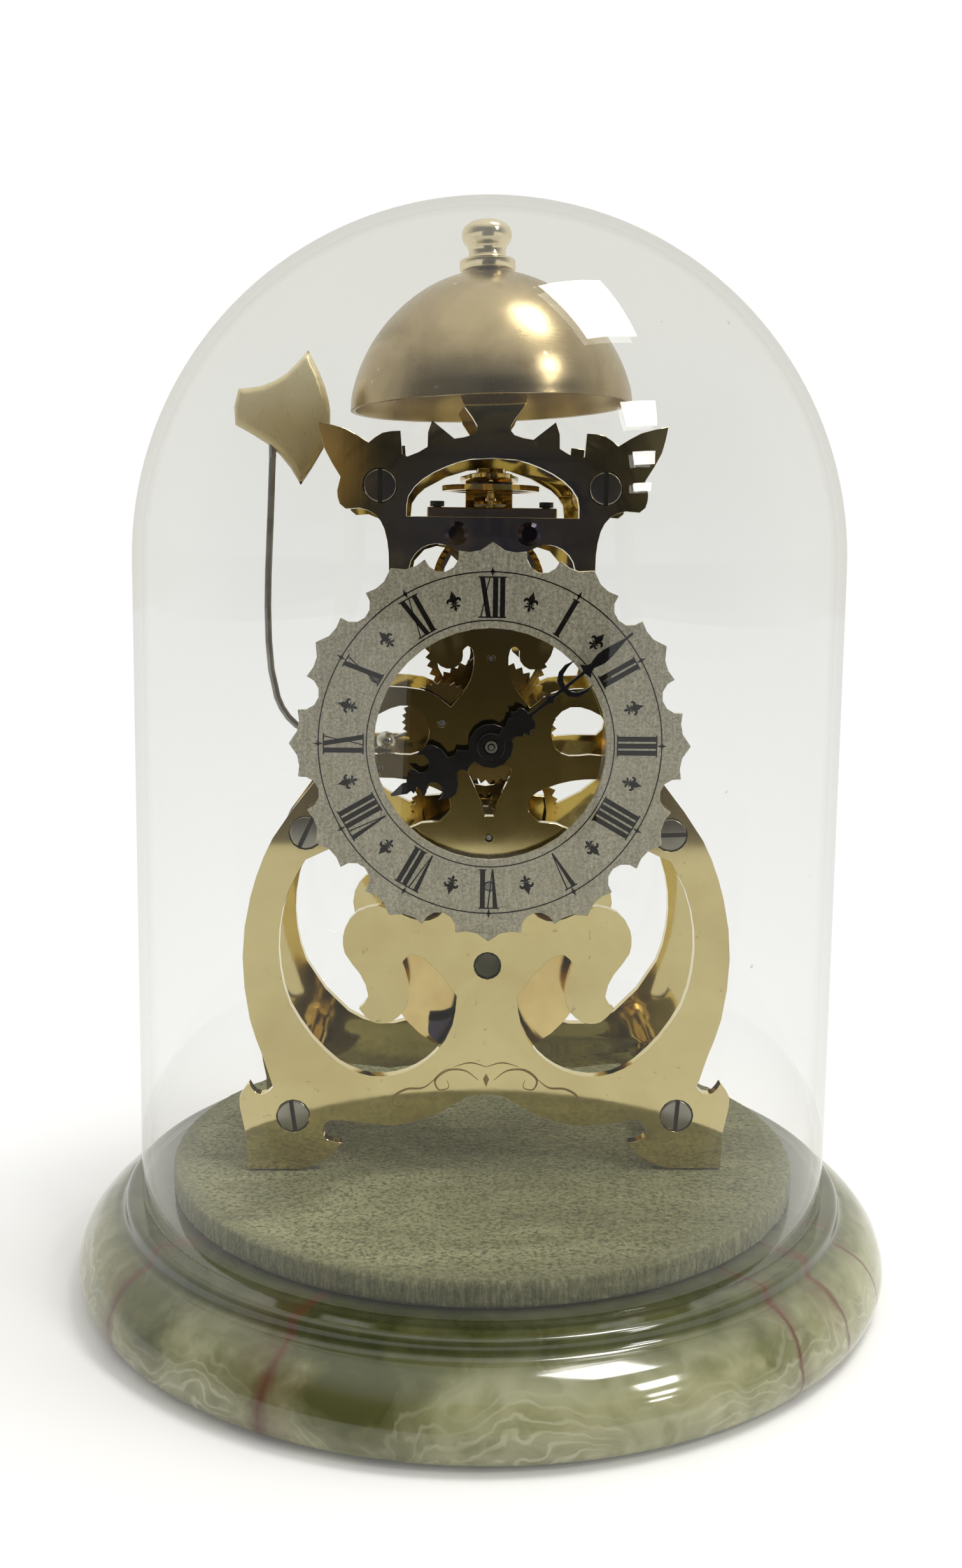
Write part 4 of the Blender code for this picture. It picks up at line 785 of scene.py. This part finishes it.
def velvet_pad():
    """The covered disc: a napped top, a rounded shoulder and a rough side where the pile stands out."""
    low, high = span("velvet_pad")
    radius, top = high.x, high.z
    sides = 300
    rows = [(radius * 0.985 * math.sqrt(i / 46.0), top - 0.25, 0.16) for i in range(1, 47)]
    rows += [(radius - 1.0, top - 0.35, 0.3), (radius - 0.55, top - 0.8, 0.45)]
    rows += [(radius - 0.35, top - 1.5 - 0.75 * i, 0.5) for i in range(8)]
    rows.append((radius - 1.6, low.z, 0.0))
    points = [(0.0, 0.0, top - 0.25)]
    for r, z, rough in rows:
        for i in range(sides):
            a = math.tau * i / sides
            x, y = r * math.cos(a), r * math.sin(a)
            tuft = noise.noise(Vector((x * 0.9, y * 0.9, z * 1.1)))
            tuft += 0.6 * noise.noise(Vector((x * 2.3, y * 2.3, z * 2.3)))
            nap = 0.5 * noise.noise(Vector((x * 0.06, y * 0.2, 3.0)))
            if r < radius - 1.5:
                z_here = min(z + rough * (tuft + nap), top)
                points.append((x, y, z_here))
            else:
                out = min(r + rough * tuft, radius) / r
                points.append((x * out, y * out, min(z + 0.3 * rough * tuft, top)))
    faces = [(0, 1 + i, 1 + (i + 1) % sides) for i in range(sides)]
    for row in range(len(rows) - 1):
        a, b = 1 + row * sides, 1 + (row + 1) * sides
        faces += [(a + i, b + i, b + (i + 1) % sides, a + (i + 1) % sides) for i in range(sides)]
    last = 1 + (len(rows) - 1) * sides
    faces.append(tuple(range(last, last + sides)))
    pad = new_piece("velvet_disc", points, faces, velvet("sage_velvet"), 60.0)
    stand_in(pad, "velvet", "velvet_pad")


velvet_pad()

# ---------------------------------------------------------------- frame plates, pillars and screws
front_face = span("front_plate")[0].y
softened("front_plate", plate_look, "brass", 0.32)
softened("back_plate", plate_look, "brass", 0.32)

for level in ("top", "mid", "foot"):
    for side in ("left", "right"):
        name = "%s_%s" % (level, side)
        low, high = span("pillar_" + name)
        x, z = 0.5 * (low.x + high.x), 0.5 * (low.z + high.z)
        start, end, wide = low.y, high.y - 3.8, 0.5 * (high.x - low.x)
        half = [(0.0, start), (wide, start), (wide, start + 1.9), (wide - 0.5, start + 2.3)]
        half += [(wide - 0.3, start + 3.2), (wide - 1.1, start + 4.0), (wide - 1.4, start + 9.0)]
        half.append((wide - 1.0, 0.5 * (start + end)))
        turning = half + [(r, start + end - y) for r, y in half[-2::-1]]
        turning = turning[:-1] + [(2.5, end), (2.5, high.y), (0.0, high.y)]
        look = spun("pillar_brass_" + name, (0.72, 0.58, 0.28), (0.60, 0.45, 0.20), 0.10, (x, 0.0, z), "Y")
        pillar = lathe("turned_pillar_" + name, look, eased(turning), "Y", (x, 0.0, z), 40)
        stand_in(pillar, "brass", "pillar_" + name)

SCREW_STEEL = (0.36, 0.345, 0.30), (0.24, 0.22, 0.18)
SLOT_TURNS = {"top": (0.0, 0.0), "mid": (25.0, 88.0), "foot": (-8.0, 4.0)}
for level, turns in SLOT_TURNS.items():
    for side, turn in zip(("left", "right"), turns):
        name = "screw_%s_%s" % (level, side)
        low, high = span(name)
        at = (0.5 * (low.x + high.x), 0.0, 0.5 * (low.z + high.z))
        wide, start = 0.5 * (high.x - low.x), low.y
        head = [(0.0, start), (wide - 0.35, start), (wide, start + 0.35), (wide, start + 1.7)]
        head += [(1.6, start + 1.7), (1.6, high.y), (0.0, high.y)]
        look = spun("steel_" + name, *SCREW_STEEL, 0.22, at, "Y", 0.06, start + 0.3)
        screw = lathe(name + "_looks", look, eased(head, 0.2), "Y", at, 48)
        cut(screw, block("slot", (-0.62, start - 1.0, -6.0), (0.62, start + 0.85, 6.0), turn, at, look))
        stand_in(screw, "steel", name)

# ---------------------------------------------------------------- chapter ring and its printing
softened("chapter_ring", silver_look, "silvered", 0.14)
ring_low, ring_high = span("chapter_ring")
dial = (0.5 * (ring_low.x + ring_high.x), 0.5 * (ring_low.z + ring_high.z))
dial_front = ring_low.y
INK = 0.05
BAND_LOW, BAND_HIGH = 35.1, 46.4
TALL = BAND_HIGH - BAND_LOW
INNER_LINE, LILY_RADIUS, OUTER_LINE = 34.25, 40.6, 47.5


def numeral(text):
    """The strokes of a Roman numeral about its own middle."""
    shapes, feet, x = [], [], 0.0
    top, bottom, bar = 0.5 * TALL, -0.5 * TALL, 0.36
    head, foot = top - bar, bottom + bar

    def stroke(low_left, low_right, low, high_right, high_left, high):
        corners = (low_left, low), (low_right, low), (high_right, high), (high_left, high)
        shapes.append([(x + u, v) for u, v in corners])

    for letter in text:
        if letter == "I":
            stroke(0.28, 1.67, foot, 1.67, 0.28, head)
            feet.append((x, x + 1.95))
            x += 1.95
        elif letter == "V":
            stroke(1.60, 2.05, bottom, 1.62, 0.30, head)
            thin = [(1.80, bottom + 0.3), (2.08, bottom + 0.6), (3.24, head), (2.84, head)]
            shapes.append([(x + u, v) for u, v in thin])
            x += 3.6
        else:
            stroke(2.02, 3.36, foot, 1.62, 0.28, head)
            stroke(0.42, 0.76, foot, 1.92, 1.72, -0.25)
            stroke(1.66, 1.86, 0.25, 3.14, 2.80, head)
            feet.append((x, x + 3.6))
            x += 3.6
    shapes.append([(-0.12, head), (x + 0.12, head), (x + 0.12, top), (-0.12, top)])
    joined = []
    for a, b in feet:
        if joined and abs(joined[-1][1] - a) < 0.01:
            joined[-1] = (joined[-1][0], b)
        else:
            joined.append((a, b))
    shapes += [[(a - 0.1, bottom), (b + 0.1, bottom), (b + 0.1, foot), (a - 0.1, foot)] for a, b in joined]
    return [[(u - 0.5 * x, v) for u, v in loop] for loop in shapes]


def mirrored(loop):
    return [(-u, v) for u, v in reversed(loop)]


def lily():
    """A small fleur-de-lis, its point outwards."""
    petal = flow([(0.0, -0.3), (0.55, 0.7), (0.78, 1.35), (0.35, 2.1), (0.0, 3.0)], 3)
    petal = petal + mirrored(petal)[1:-1]
    curl = flow([(0.20, -0.15), (0.60, 0.50), (1.15, 0.75), (1.60, 0.42), (1.62, -0.05)], 4)
    curl = ribbon(curl, [0.35, 0.65, 0.75, 0.55, 0.35])
    tail = ribbon(flow([(0.18, -0.45), (0.50, -0.95), (0.95, -1.15), (1.25, -0.95)], 4), [0.35, 0.5, 0.35])
    drop = flow([(0.0, -0.5), (0.32, -1.3), (0.36, -1.75), (0.0, -2.4)], 3)
    drop = drop + mirrored(drop)[1:-1]
    bar = [(-0.95, -0.42), (0.95, -0.42), (0.95, -0.12), (-0.95, -0.12)]
    return [petal, curl, mirrored(curl), tail, mirrored(tail), drop, bar]


def star():
    """The four-pointed mark on the outer line at each hour."""
    right = [(0.0, 1.5), (0.28, 0.42), (0.85, 0.0), (0.28, -0.42)]
    return right + [(-u, -v) for u, v in right]


def circle_line(radius, width, sides=240):
    """A thin ring as pairs of arcs, each half a turn."""
    halves = []
    for first in (0, sides // 2):
        turn = [math.tau * (first + i) / sides for i in range(sides // 2 + 1)]
        loop = [(radius + width, a) for a in turn] + [(radius, a) for a in reversed(turn)]
        halves.append([(dial[0] + r * math.cos(a), dial[1] + r * math.sin(a)) for r, a in loop])
    return halves


numerals, lilies, marks = [], [], []
for hour, text in enumerate(("XII", "I", "II", "III", "IIII", "V", "VI", "VII", "VIII", "IX", "X", "XI")):
    around = 30.0 * hour
    numerals += [dialled(loop, around, 0.5 * (BAND_LOW + BAND_HIGH), dial) for loop in numeral(text)]
    for loop in lily():
        lilies.append(dialled([(1.1 * u, 1.1 * v) for u, v in loop], around + 15.0, LILY_RADIUS, dial))
    marks.append(dialled(star(), around, OUTER_LINE + 0.2, dial))
marks += circle_line(OUTER_LINE, 0.34) + circle_line(INNER_LINE, 0.32)
for name, shapes in (("dial_numerals", numerals), ("dial_lilies", lilies), ("dial_lines", marks)):
    added(flat_art(name, shapes, dial_front, INK, ink_look), "frame")

# ---------------------------------------------------------------- engraved scroll on the front plate
strokes = []
inner_curl = [(-2.2, 61.6), (-6.0, 64.4), (-11.0, 64.6), (-14.6, 61.8)]
inner_curl += [(-13.6, 58.8), (-10.8, 59.4), (-11.2, 61.6)]
outer_curl = [(-14.0, 62.6), (-18.0, 59.4), (-22.6, 59.0), (-26.0, 57.2)]
outer_curl += [(-26.8, 54.6), (-24.6, 53.6), (-23.4, 55.2)]
crest = [(-9.4, 65.6), (-4.6, 66.8), (0.0, 65.6)]
scroll = [
    (inner_curl, [0.15, 0.5, 0.8, 0.5, 0.3, 0.15]),
    (outer_curl, [0.15, 0.6, 0.7, 0.4, 0.2]),
    (crest, [0.12, 0.45, 0.2]),
]
for line, widths in scroll:
    loop = ribbon(flow(line, 5), widths)
    strokes += [loop, mirrored(loop)]
strokes.append([(0.0, 63.6), (0.9, 61.9), (0.0, 59.6), (-0.9, 61.9)])
engraving_look = brass("engraving", (0.36, 0.27, 0.10), (0.22, 0.16, 0.06), 0.30)
added(flat_art("plate_scroll", strokes, front_face, 0.04, engraving_look), "frame")

# ---------------------------------------------------------------- hands
for node in ("minute_hand", "hour_hand"):
    softened(node, hand_look, "black", 0.14)

# ---------------------------------------------------------------- bell, its finial and the hammer head
LEAN = math.radians(-2.3)
bell_low, bell_high = span("bell")
post_low = span("bell_post")[0]
bell_foot = Vector((0.0, 0.5 * (bell_low.y + bell_high.y), post_low.z + 4.5))


def leaned(piece):
    """Tips the piece with the bell, about the bell's foot."""
    there, back = Matrix.Translation(-bell_foot * MM), Matrix.Translation(bell_foot * MM)
    piece.data.transform(back @ Matrix.Rotation(LEAN, 4, "Y") @ there)
    return piece


bell_outer = [(40.55, -0.9), (39.9, 4.0), (37.4, 11.2), (33.2, 18.6)]
bell_outer += [(27.0, 25.8), (18.6, 32.2), (9.6, 36.1), (2.7, 37.0)]
bell_inner = [(39.2, -0.9), (38.3, 4.0), (35.8, 11.0), (30.9, 18.8)]
bell_inner += [(22.9, 26.6), (13.0, 33.0), (6.8, 35.3), (2.7, 35.4)]
bell_profile = flow(bell_outer, 8) + flow(bell_inner, 8)[::-1] + [(39.9, -1.1)]
bell = leaned(lathe("bell_looks", bronze_look, bell_profile, at=tuple(bell_foot), sides=192, sharp=60.0))
stand_in(bell, "bronze", "bell")
knob = [(6.8, 45.6), (7.15, 47.6), (6.4, 49.6), (4.2, 51.1), (1.6, 51.5), (0.0, 51.5)]
foot = [(0.0, 37.4), (7.7, 37.4), (8.0, 37.9), (8.05, 40.0), (7.6, 40.5)]
foot += [(5.9, 40.8), (5.4, 41.6), (5.3, 43.2), (5.9, 44.4)]
finial_look = spun("finial_brass", (0.88, 0.78, 0.53), (0.76, 0.64, 0.40), 0.17, tuple(bell_foot), "Z")
turning = foot + flow(knob, 4)
finial = leaned(lathe("bell_finial", finial_look, turning, at=tuple(bell_foot), sides=64, sharp=40.0))
stand_in(finial, "brass", "bell_nut")


def hammer_head():
    """The axe-shaped head: flat faces that round over into the outline of its CAD solid."""
    low, high = span("hammer_head")
    mid, half = 0.5 * (low.y + high.y), 0.5 * (high.y - low.y)
    work = bmesh.new()
    work.from_mesh(NODES["hammer_head"].data)
    bmesh.ops.remove_doubles(work, verts=work.verts, dist=2e-6)
    rim_verts = [v for v in work.verts if abs(v.co.y / MM - mid) < 0.02]
    chain, seen = [rim_verts[0]], {rim_verts[0]}
    while True:
        nexts = [e.other_vert(chain[-1]) for e in chain[-1].link_edges]
        nexts = [v for v in nexts if v in rim_verts and v not in seen]
        if not nexts:
            break
        chain.append(nexts[0])
        seen.add(nexts[0])
    outline = [Vector((v.co.x / MM, v.co.z / MM)) for v in chain]
    work.free()
    edge = []
    for a, b in zip(outline, outline[1:] + outline[:1]):
        pieces = max(1, round((b - a).length / 0.9))
        edge += [a + (b - a) * (i / pieces) for i in range(pieces)]
    sides = list(zip(outline, outline[1:] + outline[:1]))

    def depth(p):
        best = 1e9
        for a, b in sides:
            near, share = intersect_point_line(p, a, b)
            near = near if 0.0 <= share <= 1.0 else (a if share < 0.0 else b)
            best = min(best, (Vector(near[:2]) - p).length)
        return best

    inner = []
    x = low.x
    while x < high.x:
        z = low.z
        while z < high.z:
            inner.append(Vector((x, z)))
            z += 0.9
        x += 0.9
    inner = [p for p in inner if depth(p) > 0.5]
    count = len(edge)
    made = delaunay_2d_cdt(edge + inner, [], [list(range(count))], 1, 1e-4)
    flat, tris = made[0], made[2]
    top, under, points = {}, {}, []
    for i, p in enumerate(flat):
        d = depth(p)
        crown = half - 0.8 * (1.0 - min(d / 12.0, 1.0)) ** 2
        swell = crown * math.sqrt(max(0.0, 1.0 - (1.0 - min(d / 1.8, 1.0)) ** 2))
        top[i] = len(points)
        points.append((p.x, mid - swell, p.y))
        if d < 0.02:
            under[i] = top[i]
        else:
            under[i] = len(points)
            points.append((p.x, mid + swell, p.y))
    faces = [tuple(top[i] for i in tri) for tri in tris]
    faces += [tuple(under[i] for i in reversed(tri)) for tri in tris]
    return new_piece("hammer_head_looks", points, faces, hammer_bronze(low.z, high.z), 70.0)


def hammer_bronze(low, high):
    """Bronze painted brighter towards the head's top, as a painted reflection."""
    look = new_look("hammer_bronze")
    at = look.place()
    tall = look.node("SeparateXYZ", {0: at}, out="Z")
    cloud = look.noise(at, 90.0, 5.0, 0.6, 0.5)
    tall = look.maths("MULTIPLY_ADD", look.maths("SUBTRACT", cloud, 0.5), 0.012, tall)
    # Painted reflection: dark brown at the head's foot running up to pale gold at its top.
    wear_and_reflection = look.ramp(
        tall,
        (low * MM, (0.36, 0.27, 0.10)),
        (low * MM + 0.018, (0.60, 0.48, 0.235)),
        (high * MM, (1.0, 0.90, 0.58)),
    )
    grain = look.noise(look.scaled(at, (1.0, 1.0, 0.2)), 1800.0, 2.0, 0.6)
    rough = look.maths("MULTIPLY_ADD", grain, 0.16, 0.22)
    normal = look.bump(grain, 0.06, 0.00004)
    return look.surface(Base_Color=wear_and_reflection, Metallic=0.32, Roughness=rough, Normal=normal)


stand_in(hammer_head(), "bronze", "hammer_head")


def rod_tip():
    """The end of the hammer's rod, from where its CAD solid stops into the head."""
    ends = [v.co / MM for v in NODES["hammer_rod"].data.vertices]
    top = max(p.z for p in ends)
    ends = [p for p in ends if p.z > top - 0.1]
    centre = [0.5 * (min(p[i] for p in ends) + max(p[i] for p in ends)) for i in range(3)]
    radius = 0.5 * (max(p.y for p in ends) - min(p.y for p in ends)) + 0.05
    profile = [(0.0, -0.8), (radius - 0.05, -0.8), (radius, -0.6), (radius, 4.2), (0.0, 4.2)]
    return lathe("rod_tip", dark_steel_look, profile, "Z", tuple(centre), 24, 40.0)


added(rod_tip(), "hammer")
BALL_RADIUS = 2.78
BALL_AT = (-29.4, -12.6, 158.6)  # the middle of the ball on the hammer arbor's arm
turns = [math.pi * (i / 20.0 - 0.5) for i in range(1, 20)]
ball = [(BALL_RADIUS * math.cos(a), BALL_RADIUS * math.sin(a)) for a in turns]
ball = [(0.0, -BALL_RADIUS)] + ball + [(0.0, BALL_RADIUS)]
ball_look = steel("ball_steel", (0.60, 0.60, 0.58), (0.46, 0.46, 0.44), 0.22)
added(lathe("lift_ball", ball_look, ball, "Y", BALL_AT, 40, 60.0), "hammer")

# ---------------------------------------------------------------- platform
for node, width in (("platform_plate", 0.35), ("platform_cradle", 0.3), ("balance_cock", 0.25)):
    softened(node, part_look, "brass", width)

# ---------------------------------------------------------------- looks of the CAD nodes that stay
WHEELS = {
    "barrel": "Y",
    "barrel_cover": "Y",
    "second_wheel": "Y",
    "centre_wheel": "Y",
    "third_wheel": "Y",
    "contrate_wheel": "Y",
    "hour_wheel": "Y",
    "minute_wheel": "Y",
    "escape_wheel": "Z",
    "balance_wheel": "Z",
}
for node, axis in WHEELS.items():
    low, high = span(node)
    look = spun("spun_" + node, (0.76, 0.60, 0.27), (0.64, 0.47, 0.19), 0.11, tuple(0.5 * (low + high)), axis)
    NODES[node].material_slots[0].material = look
PLAIN = (
    (shaded_steel_look, "barrel_arbor"),
    (steel_look, "base_bolt_left base_bolt_right ratchet_wheel minute_stud cannon_pinion"),
    (steel_look, "second_arbor centre_arbor third_arbor contrate_arbor pallet_lever hammer_arbor"),
    (dark_steel_look, "hammer_rod dial_foot_left dial_foot_right dial_foot_low"),
    (blued_look, "mainspring hairspring click cradle_screw_left cradle_screw_right"),
    (screw_black_look, "platform_screw_left platform_screw_right"),
    (part_look, "bell_post"),
)
for look, names in PLAIN:
    for node in names.split():
        NODES[node].material_slots[0].material = look
